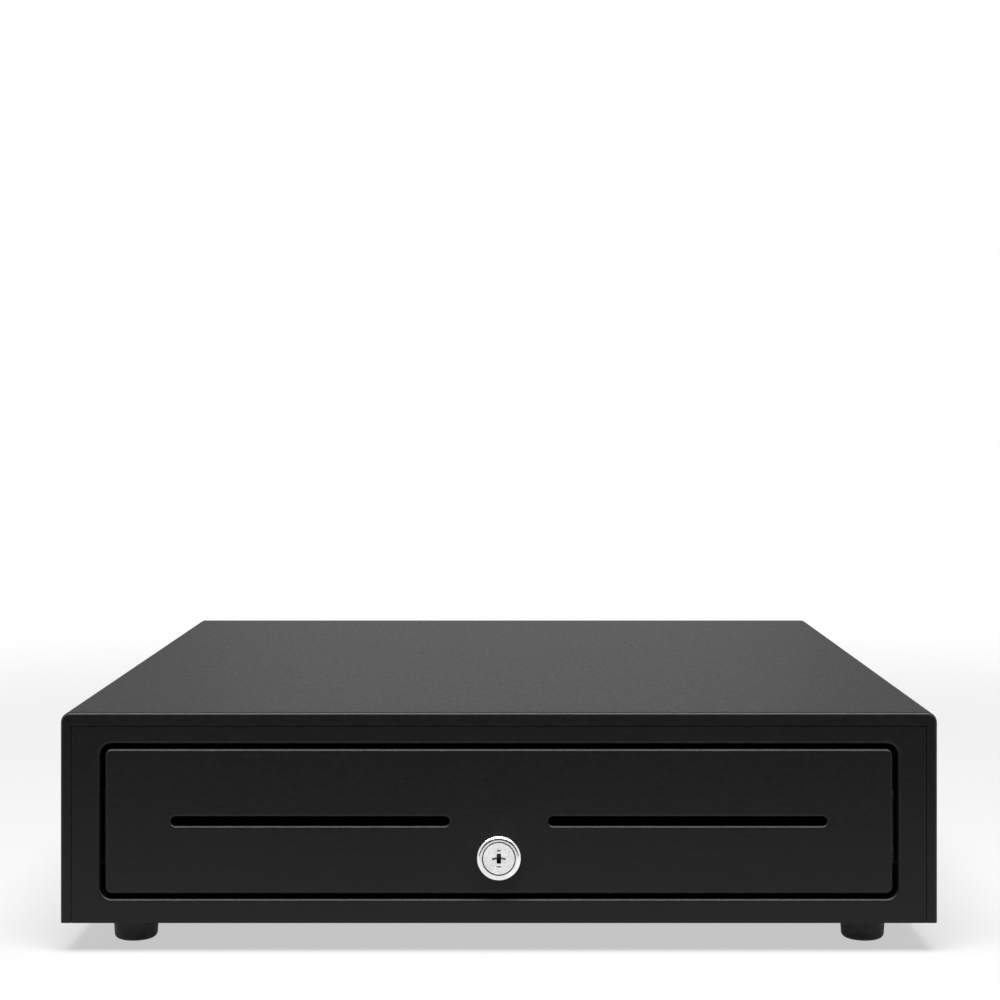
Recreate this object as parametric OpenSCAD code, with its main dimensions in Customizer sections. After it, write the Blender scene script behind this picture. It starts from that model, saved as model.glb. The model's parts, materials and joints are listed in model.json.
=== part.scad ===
// Cash drawer: black steel casing on rubber feet, with a drawer on ball slides,
// a cash tray, a key lock and a solenoid latch. Millimetres, +Z up, the front faces -Y.

/* [Casing] */
// Overall width of the casing
casing_w = 410; // [400:1:450]
// Depth from the front face to the rear face
casing_d = 415; // [410:1:450]
// Height of the casing without its feet
casing_h = 98.4; // [96:0.1:116]
// Steel sheet thickness
sheet_t = 1; // [0.8:0.1:1.2]
// Outer bend radius of the long top edges
cover_bend_r = 4.8; // [3.5:0.1:6]
// Bend radius of the cover's front edge
front_bend_r = 1.2; // [0.9:0.1:1.6]
// Width of the cover's folded return at each side of the front
side_return_w = 5; // [4:0.1:7]
// Height of the cover's folded return along the top of the front
top_return_h = 6.3; // [5:0.1:8]
// Seam between the cover's return and the front frame
seam_gap = 0.4; // [0.2:0.1:0.8]
// Width of the cover's lips under the base
bottom_lip_w = 14; // [10:1:16]
// Width of the cover's lips behind the rear panel
rear_lip_w = 12; // [9:1:16]
// Height of the base plate's upturned flanges
base_flange_h = 12; // [9:1:14]

/* [Front opening] */
// Frame width at each side of the opening
side_margin = 18.4; // [17:0.1:20]
// Frame height above the opening
top_margin = 14.7; // [13:0.1:16]
// Frame height below the opening
bottom_margin = 11.2; // [11:0.1:13]
// Corner radius of the opening
opening_r = 5.5; // [4.8:0.1:7]
// Rounding of the opening's edge
opening_edge_r = 1.4; // [0.8:0.1:2]
// Depth of the rim folded in around the opening
opening_lip = 12; // [9:0.5:12.5]

/* [Drawer front] */
// Gap between the drawer front and the opening
front_gap = 2.4; // [1.8:0.1:3]
// Rounding of the drawer front's edge
front_edge_r = 1.4; // [0.8:0.1:1.6]
// Depth of the drawer front's folded edge
front_depth = 10; // [9:0.5:12]
// Width of the inner return that the box is screwed to
front_return_w = 17; // [15:0.5:18]
// Clear length of a media slot
slot_len = 130.2; // [100:0.2:140]
// Clear height of a media slot
slot_h = 4.4; // [4.2:0.1:6]
// Rounding of a slot's edge
slot_edge_r = 1.1; // [0.6:0.1:1.4]
// Distance between the slots' centres
slot_pitch = 176.6; // [165:0.2:190]

/* [Lock] */
// Height of the lock's centre above the casing's underside
lock_height = 30.8; // [30:0.1:32]
// Diameter of the flange against the panel
collar_d = 20.6; // [19:0.1:23]
// Diameter of the ring in front of the flange
ring_d = 19.8; // [18.4:0.1:20.5]
// How far the lock stands in front of the panel
lock_proud = 3.6; // [2.8:0.1:5]
// Diameter of the turning plug
plug_d = 15.7; // [14:0.1:16]
// Diameter of the threaded barrel behind the panel
barrel_d = 18; // [17.2:0.1:18.8]
// Length of the barrel behind the panel's face
barrel_len = 24; // [21:0.5:26]
// Width across the flats of the lock nut
nut_af = 24; // [22:0.5:27]
// Thickness of the lock nut
nut_t = 5; // [3:0.5:6]
// Width of the keyway
keyway_w = 2; // [1.6:0.1:2.4]
// Height of the keyway
keyway_h = 4.6; // [4:0.1:8]
// Diameter of the long rod behind the plug
rod_d = 5; // [4:0.1:5.4]
// Radius of the crank at the rod's rear end
crank_r = 7; // [6.5:0.1:7.4]
// Diameter of the crank pin
crank_pin_d = 4; // [3.2:0.1:4.4]

/* [Drawer box] */
// Clearance under the box inside the opening
box_floor_gap = 3; // [2.5:0.1:4]
// Clearance from the box's side walls to the opening's upper edge
box_top_gap = 7.5; // [7:0.1:9]
// Width of the side walls' inward flange that carries the tray
ledge_w = 4; // [3:0.1:5]
// Space behind the drawer for the latch parts
rear_space = 36; // [35:0.5:38]
// Gap between the box's front wall and the tray
chute_gap = 18; // [17:0.5:22]

/* [Slides] */
// Overall thickness of a slide
slide_t = 12.7; // [12.4:0.1:13]
// Overall height of a slide
slide_h = 34; // [30:0.5:38]
// Steel thickness of the slide members
slide_steel = 1; // [0.8:0.1:1.1]
// Diameter of the balls
ball_d = 4.5; // [4:0.1:4.6]
// Balls in each row
ball_count = 5; // [3:1:5]
// Distance between balls
ball_pitch = 13; // [10:0.5:14]
// Play between a ball and its race
ball_play = 0.15; // [0.1:0.01:0.2]
// How far the drawer comes out
drawer_travel = 290; // [260:1:292]

/* [Cash tray] */
// Wall thickness of the trays
tray_wall = 2; // [1.6:0.1:2.4]
// Thickness of the tray's rim
tray_rim_t = 2.2; // [1.6:0.1:3]
// Free height under the tray
under_tray = 20.5; // [20:0.5:23]
// Length of a bill compartment
bill_len = 158; // [140:1:162]
// Bill compartments across the tray
bill_count = 5; // [5:1:5]
// Coin cups across the tray
coin_cols = 4; // [3:1:5]
// Rows of coin cups
coin_rows = 2; // [1:1:3]
// Corner radius of the pockets
pocket_r = 4; // [2:0.5:6]
// Radius of the scooped floor of a coin cup
scoop_r = 42; // [40:1:60]
// Space left behind the tray
tray_rear_gap = 35; // [32:1:40]

/* [Bill clips] */
// Diameter of the rod that carries the clips
clip_rod_d = 4; // [3:0.1:4.4]
// Length of a clip from its hinge to its tip
clip_len = 58; // [50:1:60]
// Width of a clip's arm
clip_w = 22; // [18:1:26]
// Thickness of a clip's arm
clip_t = 2.4; // [1.8:0.1:3]
// Height of the hinge above the compartment's floor
hinge_h = 20; // [18:0.5:22]
// Distance of the hinge from the tray's rear wall
hinge_back = 12; // [11:0.5:14]
// Wire of a clip's torsion spring
clip_wire = 0.9; // [0.7:0.1:1]

/* [Latch] */
// Thickness of the latch hook
latch_t = 3; // [2:0.2:3.2]
// Angle that the hook turns for a quarter turn of the key
latch_swing = 16; // [15.5:0.1:16.5]
// Diameter of the latch's pivot
pivot_d = 6; // [5:0.1:7]
// Distance from the pivot to the striker
striker_arm = 30; // [28:0.5:32]
// Diameter of the striker pin
striker_d = 7; // [6:0.1:7.4]
// Distance from the pivot to the crank pin
tail_arm = 34; // [33:0.5:34.5]
// Distance from the pivot to the plunger's post
post_arm = 43; // [42:0.5:43.5]
// Diameter of the plunger
plunger_d = 8; // [6:0.2:9]
// Diameter of the solenoid's coil
coil_d = 19; // [17:0.5:20]
// Length of the solenoid's coil
coil_len = 28; // [24:1:32]

/* [Ejector] */
// Outer diameter of an ejector spring
eject_d = 13; // [11:0.5:15]
// Wire of an ejector spring
eject_wire = 1.4; // [1:0.1:1.6]
// Turns of an ejector spring
eject_turns = 7; // [5:1:8]
// Distance of the ejector springs from the middle
eject_x = 80; // [70:1:110]

/* [Feet] */
// Height of the casing's underside above the ground
foot_h = 14; // [10:0.5:18]
// Diameter of a foot at the base plate
foot_top_d = 22; // [18:0.5:24]
// Diameter of a foot at the ground
foot_tip_d = 20.5; // [16:0.5:22]
// Rounding of a foot's lower edge
foot_edge_r = 2.4; // [1:0.2:4]
// Distance of a foot's centre from the casing's side
foot_in_x = 30; // [28:0.5:40]
// Distance of a foot's centre from the front and the rear
foot_in_y = 30; // [28:0.5:40]

/* [Mounting holes] */
// Distance between the under-counter holes across the base
mount_dx = 300; // [240:1:320]
// Distance between the under-counter holes front to back
mount_dy = 200; // [160:1:220]
// Diameter of the under-counter holes
mount_d = 5.5; // [4.5:0.1:6.5]

/* [Socket] */
// Distance of the cord socket from the casing's side
jack_in = 55; // [45:1:85]
// Width of the cord socket's mouth
jack_w = 9.8; // [9:0.1:10.5]
// Height of the cord socket's mouth
jack_h = 6.8; // [6:0.1:7.5]

/* [Fits] */
// Clearance between parts that lie next to each other
fit = 0.3; // [0.2:0.05:0.4]
// Radial clearance of turning pins
run_fit = 0.05; // [0.03:0.01:0.08]
// Diameter of the screws
screw_d = 3; // [2.6:0.1:3.2]
// Diameter of the screw heads
head_d = 6; // [5.4:0.1:6.4]
// Height of the screw heads
head_h = 1.8; // [1.4:0.1:2.2]

/* [Hidden] */
$fn = 48;
t = sheet_t;
half_w = casing_w / 2;
z0 = foot_h;
z_top = foot_h + casing_h;
y_f = (lock_proud - casing_d - head_h) / 2;
y_r = y_f + casing_d;
floor_z = z0 + 2 * t;
cover_edge = 8;

// Front opening and drawer front
open_w = casing_w - 2 * side_margin;
open_h = casing_h - top_margin - bottom_margin;
open_z = z0 + bottom_margin + open_h / 2;
front_w = open_w - 2 * front_gap;
front_h = open_h - 2 * front_gap;
front_r = opening_r - front_gap;
lock_z = z0 + lock_height;

// Slides
race_r = ball_d / 2 + ball_play;
ball_u = slide_t / 2;
ball_v = slide_h / 2 - slide_steel - race_r;
inner_reach = ball_u + race_r + slide_steel;
cage_gap = 0.8;
cage_t = 0.8;
cage_u = slide_t - slide_steel - 0.6;

// Drawer box
box_half = open_w / 2 - inner_reach - 2;
box_front = y_f + front_depth + t;
box_rear = y_r - rear_space - 2 * t;
box_len = box_rear - box_front;
box_z = z0 + bottom_margin + box_floor_gap;
box_floor = box_z + t;
wall_top = z0 + bottom_margin + open_h - box_top_gap;
slide_z = (box_z + wall_top) / 2 - 3;
slide_y0 = box_front + 3;
slide_in_len = box_len - 8;
slide_out_len = box_len + 12;
cage_len = (ball_count - 1) * ball_pitch + ball_d + 6;
cage_y = slide_y0 + (slide_in_len + drawer_travel) / 2 - drawer_travel / 2 - cage_len / 2;

// Trays
tray_half = box_half - t - ledge_w - fit;
tray_front = box_front + t + chute_gap;
tray_rear = box_rear - t - tray_rear_gap;
tray_len = tray_rear - tray_front;
tray_z = box_floor + under_tray;
tray_floor = tray_z + tray_wall;
tray_top = wall_top + tray_rim_t;
bill_w = (2 * tray_half - (bill_count + 1) * tray_wall) / bill_count;
bill_pitch = bill_w + tray_wall;
bill_y0 = tray_rear - tray_wall - bill_len;
bay_len = bill_y0 - 2 * tray_wall - tray_front;
coin_w = 2 * (tray_half - tray_wall - fit);
coin_l = bay_len - 2 * fit;
coin_y0 = tray_front + tray_wall + fit;
cup_w = (coin_w - (coin_cols + 1) * tray_wall) / coin_cols;
cup_l = (coin_l - (coin_rows + 1) * tray_wall) / coin_rows;
cup_floor = tray_floor + tray_wall;

// Clips
hinge_y = tray_rear - tray_wall - hinge_back;
hinge_z = tray_floor + hinge_h;
hub_r = clip_rod_d / 2 + run_fit + 2;
clip_tip_r = 3;
clip_dip = asin((hinge_h - clip_tip_r - 0.2) / (clip_len - clip_tip_r));

// Latch
rod_bore = rod_d / 2 + run_fit;
crank_y = box_rear + 9;
pivot_y = crank_y - tail_arm;
latch_base_t = 1.5;
latch_z = floor_z + latch_base_t + 1.5;
striker_x = 5;
striker_y = pivot_y - striker_arm;
post_y = pivot_y + post_arm;
plunger_z = latch_z + latch_t + 6;
half_swing = latch_swing / 2;
post_x = post_arm * sin(half_swing);
coil_x = 24;
hook_gap = 0.4;
plate_left = -42;
plate_right = coil_x + 2;
plate_front = pivot_y - 18;
plate_rear = box_rear + 32;
plate_inset = 6;
spring_post_x = -34;
spring_stud_x = -3;
spring_back = 26;
lever_y = pivot_y + 6;
lever_x = -14.5;
lever_rest = 4.5;

// Rear parts
eject_z = slide_z + 6;
eject_y0 = box_rear + fit;
eject_len = y_r - t - eject_y0 - fit;
jack_x = half_w - jack_in;
jack_z = z0 + t + base_flange_h + jack_h / 2 + 3.6;
jack_depth = 15;

// Rounded rectangle, centred
module rrect(w, h, r) {
  square([w - 2 * r, h], center = true);
  square([w, h - 2 * r], center = true);
  for (x = [-1, 1], y = [-1, 1])
    translate([x * (w / 2 - r), y * (h / 2 - r)]) circle(r);
}

// Straight slot with round ends, centred
module stadium(w, h) {
  square([w - h, h], center = true);
  for (x = [-1, 1]) translate([x * (w - h) / 2, 0]) circle(h / 2);
}

// Extrudes a flat shape drawn in X and Z along Y, from y0 over len
module along_y(y0, len) {
  translate([0, y0 + len, 0]) rotate([90, 0, 0]) linear_extrude(len) children();
}

// Turns children so that their Z axis points along +Y, at the point p
module to_y(p) {
  translate(p) rotate([-90, 0, 0]) children();
}

// Points of an arc about c
function arc(c, r, a0, a1, n) =
  [for (i = [0 : n]) c + r * [cos(a0 + (a1 - a0) * i / n), sin(a0 + (a1 - a0) * i / n)]];

// Runs a profile around a rounded rectangle in X and Z; in the profile, x goes inward from the
// outline and y is the depth behind the front
module rim(w, h, r) {
  for (s = [0, 1]) mirror([s, 0, 0]) {
    translate([w / 2, 0, r - h / 2]) linear_extrude(h - 2 * r) mirror([1, 0]) children();
    for (k = [0, 1]) mirror([0, 0, k]) translate([w / 2 - r, 0, h / 2 - r])
      rotate([90, 0, 0]) mirror([0, 0, 1]) rotate_extrude(angle = 90)
        translate([r, 0]) mirror([1, 0]) children();
  }
  for (k = [0, 1]) mirror([0, 0, k]) translate([r - w / 2, 0, h / 2]) rotate([0, 90, 0])
    linear_extrude(w - 2 * r) children();
}

// The same on the right or the left side of the part
module sided(s) {
  mirror([s < 0 ? 1 : 0, 0, 0]) children();
}

// A pan-head screw along +Z: the head's flat underside at the origin, the shank below
module screw(len) {
  translate([0, 0, -len]) cylinder(d = screw_d, h = len + 0.01);
  difference() {
    cylinder(d1 = head_d, d2 = head_d * 0.7, h = head_h);
    for (a = [0, 90]) rotate([0, 0, a]) translate([0, 0, head_h])
      cube([head_d * 0.55, head_d * 0.13, head_h], center = true);
  }
}

// A bent solid through rings of n points each, closed at both ends
module tube(rings, n) {
  m = len(rings);
  faces = concat([[for (j = [0 : n - 1]) n - 1 - j]], [[for (j = [0 : n - 1]) (m - 1) * n + j]],
    [for (i = [0 : m - 2], j = [0 : n - 1])
      [i * n + j, i * n + (j + 1) % n, (i + 1) * n + (j + 1) % n]],
    [for (i = [0 : m - 2], j = [0 : n - 1])
      [i * n + j, (i + 1) * n + (j + 1) % n, (i + 1) * n + j]]);
  polyhedron([for (r = rings) each r], faces);
}

// Rings of a helix about Z: mean radius r, wire w, turns k, height h; the end turns lie close
function helix(r, w, k, h, n, a0) =
  let (steps = k * 8, lay = w + 0.5)
  [for (i = [0 : steps])
    let (u = i / 8, a = a0 + u * 360,
      z = u < 1 ? u * lay : u > k - 1 ? h - (k - u) * lay : lay + (u - 1) / (k - 2) * (h - 2 * lay))
    [for (j = [0 : n - 1])
      let (b = j * 360 / n, q = r + w / 2 * cos(b)) [q * cos(a), q * sin(a), z + w / 2 * sin(b)]]];

// Least gap of a coiled wire to itself, measured between ring centres at least five steps apart
function self_gap(rings, w) =
  let (n = len(rings[0]), c = [for (r = rings) [for (k = [0 : 2]) sum([for (p = r) p[k]]) / n]], m = len(c))
  min([for (i = [0 : m - 1], j = [i + 5 : 1 : m - 1]) norm(c[i] - c[j])]) - w;

function sum(v, i = 0) = i < len(v) ? v[i] + sum(v, i + 1) : 0;

// Outline of the casing in X and Z, drawn smaller by d all round
module casing_outline(d, low) {
  r = cover_bend_r - d;
  translate([d - half_w, low]) square([casing_w - 2 * d, z_top - cover_bend_r - low]);
  translate([cover_bend_r - half_w, low]) square([casing_w - 2 * cover_bend_r, z_top - d - low]);
  for (x = [-1, 1]) translate([x * (half_w - cover_bend_r), z_top - cover_bend_r]) circle(r);
}

// Cross-section of the cover's front edge: a return of the given width with a bent corner
module return_profile(w) {
  polygon(concat(arc([front_bend_r, front_bend_r], front_bend_r, 180, 270, 6),
    [[w, 0], [w, t], [t, t], [t, cover_edge], [0, cover_edge]]));
}

module top_cover() color("#232325") {
  back = y_f + cover_edge;
  difference() {
    union() {
      // Top and sides behind the front edge
      along_y(back, y_r - back) difference() {
        casing_outline(0, z0);
        casing_outline(t, z0 + t);
        translate([bottom_lip_w - half_w, z0 - 1]) square([casing_w - 2 * bottom_lip_w, t + 2]);
      }
      // Bent front edge with its returns: sides, top and the two rounded corners
      for (s = [-1, 1]) sided(s) {
        translate([half_w, y_f, z0]) linear_extrude(casing_h - cover_bend_r)
          mirror([1, 0]) return_profile(side_return_w);
        translate([half_w - cover_bend_r, y_f, z_top - cover_bend_r])
          rotate([90, 0, 0]) mirror([0, 0, 1]) rotate_extrude(angle = 90)
            translate([cover_bend_r, 0]) mirror([1, 0]) return_profile(cover_bend_r - 0.2);
        translate([half_w - bottom_lip_w, y_f + t, z0]) cube([bottom_lip_w - t / 2, cover_edge, t]);
        translate([half_w - side_return_w, y_f, z_top - top_return_h])
          cube([side_return_w - cover_bend_r + 0.3, t, top_return_h - cover_bend_r + 0.3]);
      }
      translate([cover_bend_r - half_w, y_f, z_top]) rotate([0, 90, 0])
        linear_extrude(casing_w - 2 * cover_bend_r) return_profile(top_return_h);
      // Lips that the rear panel is screwed to
      along_y(y_r - 2 * t, t) difference() {
        casing_outline(t / 2, z0 + t);
        translate([rear_lip_w - half_w, z0 - 1]) square([casing_w - 2 * rear_lip_w, casing_h + 1 - rear_lip_w]);
      }
    }
    for (p = rear_screw_points()) to_y([p[0], y_r - 3 * t, p[1]]) cylinder(d = screw_d + 2 * fit, h = 3 * t);
    for (p = lip_screw_points()) translate([p[0], p[1], z0 - 1]) cylinder(d = screw_d + 2 * fit, h = t + 2);
  }
}

// Screws through the rear panel: X and Z
function rear_screw_points() = [for (x = [-1, 1], z = [z0 + 24, z_top - 18])
  [x * (half_w - t - rear_lip_w / 2), z]];

// Screws through the rear panel into the base's rear flange: X and Z
function flange_screw_points() = [for (x = [-1, 1]) [x * half_w / 2, floor_z + (base_flange_h - t) / 2]];

// Screws through the lips under the base: X and Y
function lip_screw_points() = [for (x = [-1, 1], y = [y_f + 70, (y_f + y_r) / 2, y_r - 70])
  [x * (half_w - bottom_lip_w / 2 - t), y]];

function foot_points() = [for (y = [y_f + foot_in_y, y_r - foot_in_y], x = [-1, 1])
  [x * (half_w - foot_in_x), y]];

function mount_points() = [for (x = [-1, 1], y = [-1, 1]) [x * mount_dx / 2, y * mount_dy / 2]];

// Screws of the slide brackets' feet: X and Y
function bracket_points() = [for (x = [-1, 1], y = [0.08, 0.42, 0.92])
  [x * (box_half + slide_t + t + 7.5), slide_y0 + slide_out_len * y]];

function latch_screw_points() = [[plate_left + plate_inset, plate_front + plate_inset],
  [plate_right - plate_inset, plate_front + plate_inset], [plate_left + plate_inset, plate_rear - plate_inset]];

module base_plate() color("#2b2b2d") {
  w = half_w - t - fit;
  difference() {
    union() {
      translate([-w, y_f + t + fit, z0 + t]) cube([2 * w, casing_d - 2 * t - fit, t]);
      for (s = [-1, 1]) sided(s) translate([w - t, y_f + 2 * t + fit, z0 + t])
        cube([t, casing_d - 4 * t - 2 * fit, base_flange_h]);
      translate([rear_lip_w + t - half_w, y_r - 2 * t, z0 + t])
        cube([casing_w - 2 * (rear_lip_w + t), t, base_flange_h]);
    }
    for (p = foot_points()) translate([p[0], p[1], z0]) cylinder(d = screw_d + 2 * fit, h = 4 * t);
    for (p = mount_points()) translate([p[0], p[1], z0]) cylinder(d = mount_d, h = 4 * t);
    for (p = lip_screw_points()) translate([p[0], p[1], z0]) cylinder(d = screw_d + 2 * fit, h = 4 * t);
    for (p = bracket_points()) translate([p[0], p[1], z0]) cylinder(d = screw_d + 2 * fit, h = 4 * t);
    for (p = latch_screw_points()) translate([p[0], p[1], z0]) cylinder(d = screw_d + 2 * fit, h = 4 * t);
    for (p = flange_screw_points()) to_y([p[0], y_r - 3 * t, p[1]]) cylinder(d = screw_d + 2 * fit, h = 3 * t);
    // Notches for the cover's rear lips
    for (s = [-1, 1]) sided(s) translate([half_w - t - rear_lip_w - fit, y_r - 2 * t - fit, z0])
      cube([rear_lip_w + t, 2 * t + fit, base_flange_h]);
  }
}

module front_frame() color("#262628") {
  x1 = half_w - side_return_w - seam_gap;
  z1 = z_top - top_return_h - seam_gap;
  e = opening_edge_r;
  // Flush plate
  along_y(y_f, t) difference() {
    translate([-x1, z0]) square([2 * x1, z1 - z0]);
    translate([0, open_z]) rrect(open_w + 2 * e + 2, open_h + 2 * e + 2, opening_r + e + 1);
  }
  // Flange set back behind the cover's returns
  along_y(y_f + t, t) difference() {
    translate([-half_w + t + fit, floor_z + fit])
      square([casing_w - 2 * t - 2 * fit, z_top - cover_bend_r - floor_z - fit]);
    translate([-x1 + 5, floor_z]) square([2 * x1 - 10, z1 - 4 - floor_z]);
  }
  along_y(y_f + t / 2, t) difference() {
    translate([-x1, floor_z + fit]) square([2 * x1, z1 - floor_z - fit]);
    translate([-x1 + 5, floor_z]) square([2 * x1 - 10, z1 - 4 - floor_z]);
  }
  along_y(y_f + t, t) translate([cover_bend_r - half_w, z1 - 4])
    square([casing_w - 2 * cover_bend_r, z_top - t - fit - z1 + 4]);
  // Rim folded in around the opening
  translate([0, y_f, open_z])
    rim_out(open_w, open_h, opening_r)
      polygon(concat([[e + 1.5, 0]], arc([e, e], e, 270, 180, 6),
        [[0, opening_lip], [t, opening_lip], [t, t], [e + 1.5, t]]));
  // Flange under the base
  translate([bottom_lip_w + fit - half_w, y_f + t / 2, z0])
    cube([casing_w - 2 * (bottom_lip_w + fit), 14, t]);
}

// Like rim, with the profile's x going outward from the outline
module rim_out(w, h, r) {
  for (s = [0, 1]) mirror([s, 0, 0]) {
    translate([w / 2, 0, r - h / 2]) linear_extrude(h - 2 * r) children();
    for (k = [0, 1]) mirror([0, 0, k]) translate([w / 2 - r, 0, h / 2 - r])
      rotate([90, 0, 0]) mirror([0, 0, 1]) rotate_extrude(angle = 90)
        translate([r, 0]) children();
  }
  for (k = [0, 1]) mirror([0, 0, k]) translate([w / 2 - r, 0, h / 2]) rotate([0, -90, 0])
    linear_extrude(w - 2 * r) children();
}

module rear_panel() color("#262628") difference() {
  along_y(y_r - t, t) casing_outline(t + fit, z0 + t + fit);
  for (p = rear_screw_points()) to_y([p[0], y_r - 2 * t, p[1]]) cylinder(d = screw_d + 2 * fit, h = 3 * t);
  for (p = flange_screw_points()) to_y([p[0], y_r - 2 * t, p[1]]) cylinder(d = screw_d + 2 * fit, h = 3 * t);
  along_y(y_r - 2 * t, 3 * t) translate([-jack_x, jack_z]) square([jack_w + 4.4, jack_h + 6.4], center = true);
  for (x = [-1, 1]) to_y([x * eject_x, y_r - 2 * t, eject_z]) cylinder(d = 4, h = 3 * t);
}

module foot(i) color("#1b1b1c") translate([foot_points()[i][0], foot_points()[i][1], 0]) rotate_extrude() {
  h = z0 + t;
  r1 = foot_top_d / 2;
  r0 = foot_tip_d / 2;
  e = foot_edge_r;
  difference() {
    polygon(concat([[2, 0]], arc([r0 - e, e], e, 270, 360, 8), [[r1, h - 1], [r1 - 0.8, h], [2, h]]));
    square([head_d / 2 + 1.2, h * 0.55]);
  }
}

module foot_front_left() foot(0);
module foot_front_right() foot(1);
module foot_rear_left() foot(2);
module foot_rear_right() foot(3);

module foot_screws() color("#b9bcc0") for (p = foot_points())
  translate([p[0], p[1], (z0 + t) * 0.55]) rotate([180, 0, 0]) screw((z0 + t) * 0.45 + 2 * t);

module cover_screws() color("#3a3a3c") {
  for (p = rear_screw_points()) translate([p[0], y_r, p[1]]) rotate([-90, 0, 0]) screw(3.5 * t);
  for (p = flange_screw_points()) translate([p[0], y_r, p[1]]) rotate([-90, 0, 0]) screw(3.5 * t);
  for (p = lip_screw_points()) translate([p[0], p[1], z0]) rotate([180, 0, 0]) screw(1.9 * t);
}

// Upright that carries an outer slide member, with a foot on the base
module bracket() {
  x = box_half + slide_t;
  difference() {
    union() {
      translate([x, slide_y0, floor_z]) cube([t, slide_out_len, slide_z + slide_h / 2 - 2 - floor_z]);
      translate([x, slide_y0, floor_z]) cube([13, slide_out_len, t]);
    }
    for (p = bracket_points()) if (p[0] > 0)
      translate([p[0], p[1], floor_z - 1]) cylinder(d = screw_d + 2 * fit, h = t + 2);
    for (y = [0.2, 0.4, 0.6, 0.8]) translate([x - 1, slide_y0 + slide_out_len * y, slide_z])
      rotate([0, 90, 0]) cylinder(d = 4, h = t + 2);
  }
}

module slide_bracket_left() color("#c9ccd0") sided(-1) bracket();
module slide_bracket_right() color("#c9ccd0") bracket();

module bracket_screws() color("#b9bcc0") for (p = bracket_points())
  translate([p[0], p[1], floor_z + t]) screw(1.9 * t);

// Outer slide member: a channel whose curled edges hold the balls
module outer_profile() {
  translate([slide_t - slide_steel, -slide_h / 2]) square([slide_steel, slide_h]);
  for (k = [0, 1]) mirror([0, k]) {
    translate([ball_u, ball_v + race_r]) square([slide_t - ball_u, slide_steel]);
    translate([ball_u, ball_v]) difference() {
      circle(race_r + slide_steel);
      circle(race_r);
      translate([-10, -20 + cage_gap]) square([20, 20]);
    }
  }
}

// Inner slide member on the drawer's side
module inner_profile() {
  translate([0, -ball_v + race_r]) square([slide_steel, 2 * (ball_v - race_r)]);
  for (k = [0, 1]) mirror([0, k]) {
    translate([0, ball_v - race_r - slide_steel]) square([ball_u, slide_steel]);
    translate([ball_u, ball_v]) difference() {
      circle(race_r + slide_steel);
      circle(race_r);
      translate([-10, -cage_gap]) square([20, 20]);
    }
  }
}

module slide_outer() difference() {
  translate([box_half, 0, slide_z]) along_y(slide_y0, slide_out_len) outer_profile();
  for (y = [0.2, 0.4, 0.6, 0.8]) translate([box_half + slide_t - 3, slide_y0 + slide_out_len * y, slide_z])
    rotate([0, 90, 0]) cylinder(d = 4, h = 5);
}

module slide_inner() translate([box_half, 0, slide_z]) along_y(slide_y0, slide_in_len) inner_profile();

module slide_outer_left() color("#c4c7cb") sided(-1) slide_outer();
module slide_outer_right() color("#c4c7cb") slide_outer();
module slide_inner_left() color("#c4c7cb") sided(-1) slide_inner();
module slide_inner_right() color("#c4c7cb") slide_inner();

// Rivets through the outer slide members and their brackets
module slide_rivets() color("#b9bcc0") for (s = [-1, 1], y = [0.2, 0.4, 0.6, 0.8]) sided(s)
  translate([box_half + slide_t - slide_steel, slide_y0 + slide_out_len * y, slide_z]) rotate([0, 90, 0]) {
    cylinder(d = 4, h = slide_steel + t);
    translate([0, 0, slide_steel + t]) cylinder(d1 = 7, d2 = 4, h = 1.4);
  }

// Cage that keeps the balls of one slide apart
module cage() {
  leg = ball_d / 2 + 0.9;
  difference() {
    translate([box_half, 0, slide_z]) along_y(cage_y, cage_len) {
      translate([cage_u - cage_t, -ball_v]) square([cage_t, 2 * ball_v]);
      for (k = [-1, 1]) translate([ball_u - leg, k * ball_v - cage_gap / 4])
        square([cage_u - ball_u + leg, cage_gap / 2]);
    }
    for (i = [0 : ball_count - 1]) translate([box_half + ball_u, ball_pos(i), slide_z - ball_v - 2])
      cylinder(r = ball_d / 2 + 0.12, h = 2 * ball_v + 4);
  }
}

function ball_pos(i) = cage_y + cage_len / 2 + (i - (ball_count - 1) / 2) * ball_pitch;

module balls() for (k = [-1, 1], i = [0 : ball_count - 1])
  translate([box_half + ball_u, ball_pos(i), slide_z + k * ball_v]) sphere(d = ball_d);

module ball_cage_left() color("#8f9398") sided(-1) cage();
module ball_cage_right() color("#8f9398") cage();
module slide_balls_left() color("#e0e2e5") sided(-1) balls();
module slide_balls_right() color("#e0e2e5") balls();

// Steel box of the drawer
module drawer_box() color("#2a2a2c") difference() {
  union() {
    translate([-box_half, box_front, box_z]) cube([2 * box_half, box_len, t]);
    for (s = [-1, 1]) sided(s) {
      translate([box_half - t, box_front, box_z]) cube([t, box_len, wall_top - box_z]);
      translate([box_half - t - ledge_w, box_front, wall_top - t]) cube([ledge_w + t, box_len, t]);
    }
    for (y = [box_front, box_rear - t]) translate([-box_half, y, box_z])
      cube([2 * box_half, t, wall_top - box_z]);
  }
  // Ways in behind the media slots
  for (x = [-1, 1]) along_y(box_front - 1, t + 2) translate([x * slot_pitch / 2, open_z])
    rrect(slot_len + 4, slot_h + 8, 4);
  to_y([0, box_front - 1, lock_z]) cylinder(d = nut_af + 4, h = t + 2);
  to_y([0, box_rear - t - 1, lock_z]) cylinder(r = rod_bore + 2, h = t + 2);
  for (p = front_screw_points()) to_y([p[0], box_front - 1, p[1]]) cylinder(d = screw_d + 2 * fit, h = t + 2);
}

// Screws from inside the box into the drawer front: X and Z
function front_screw_points() = [for (x = [-1, 1], z = [box_z + 6, wall_top - 6]) [x * (box_half - 5.5), z]];

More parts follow.
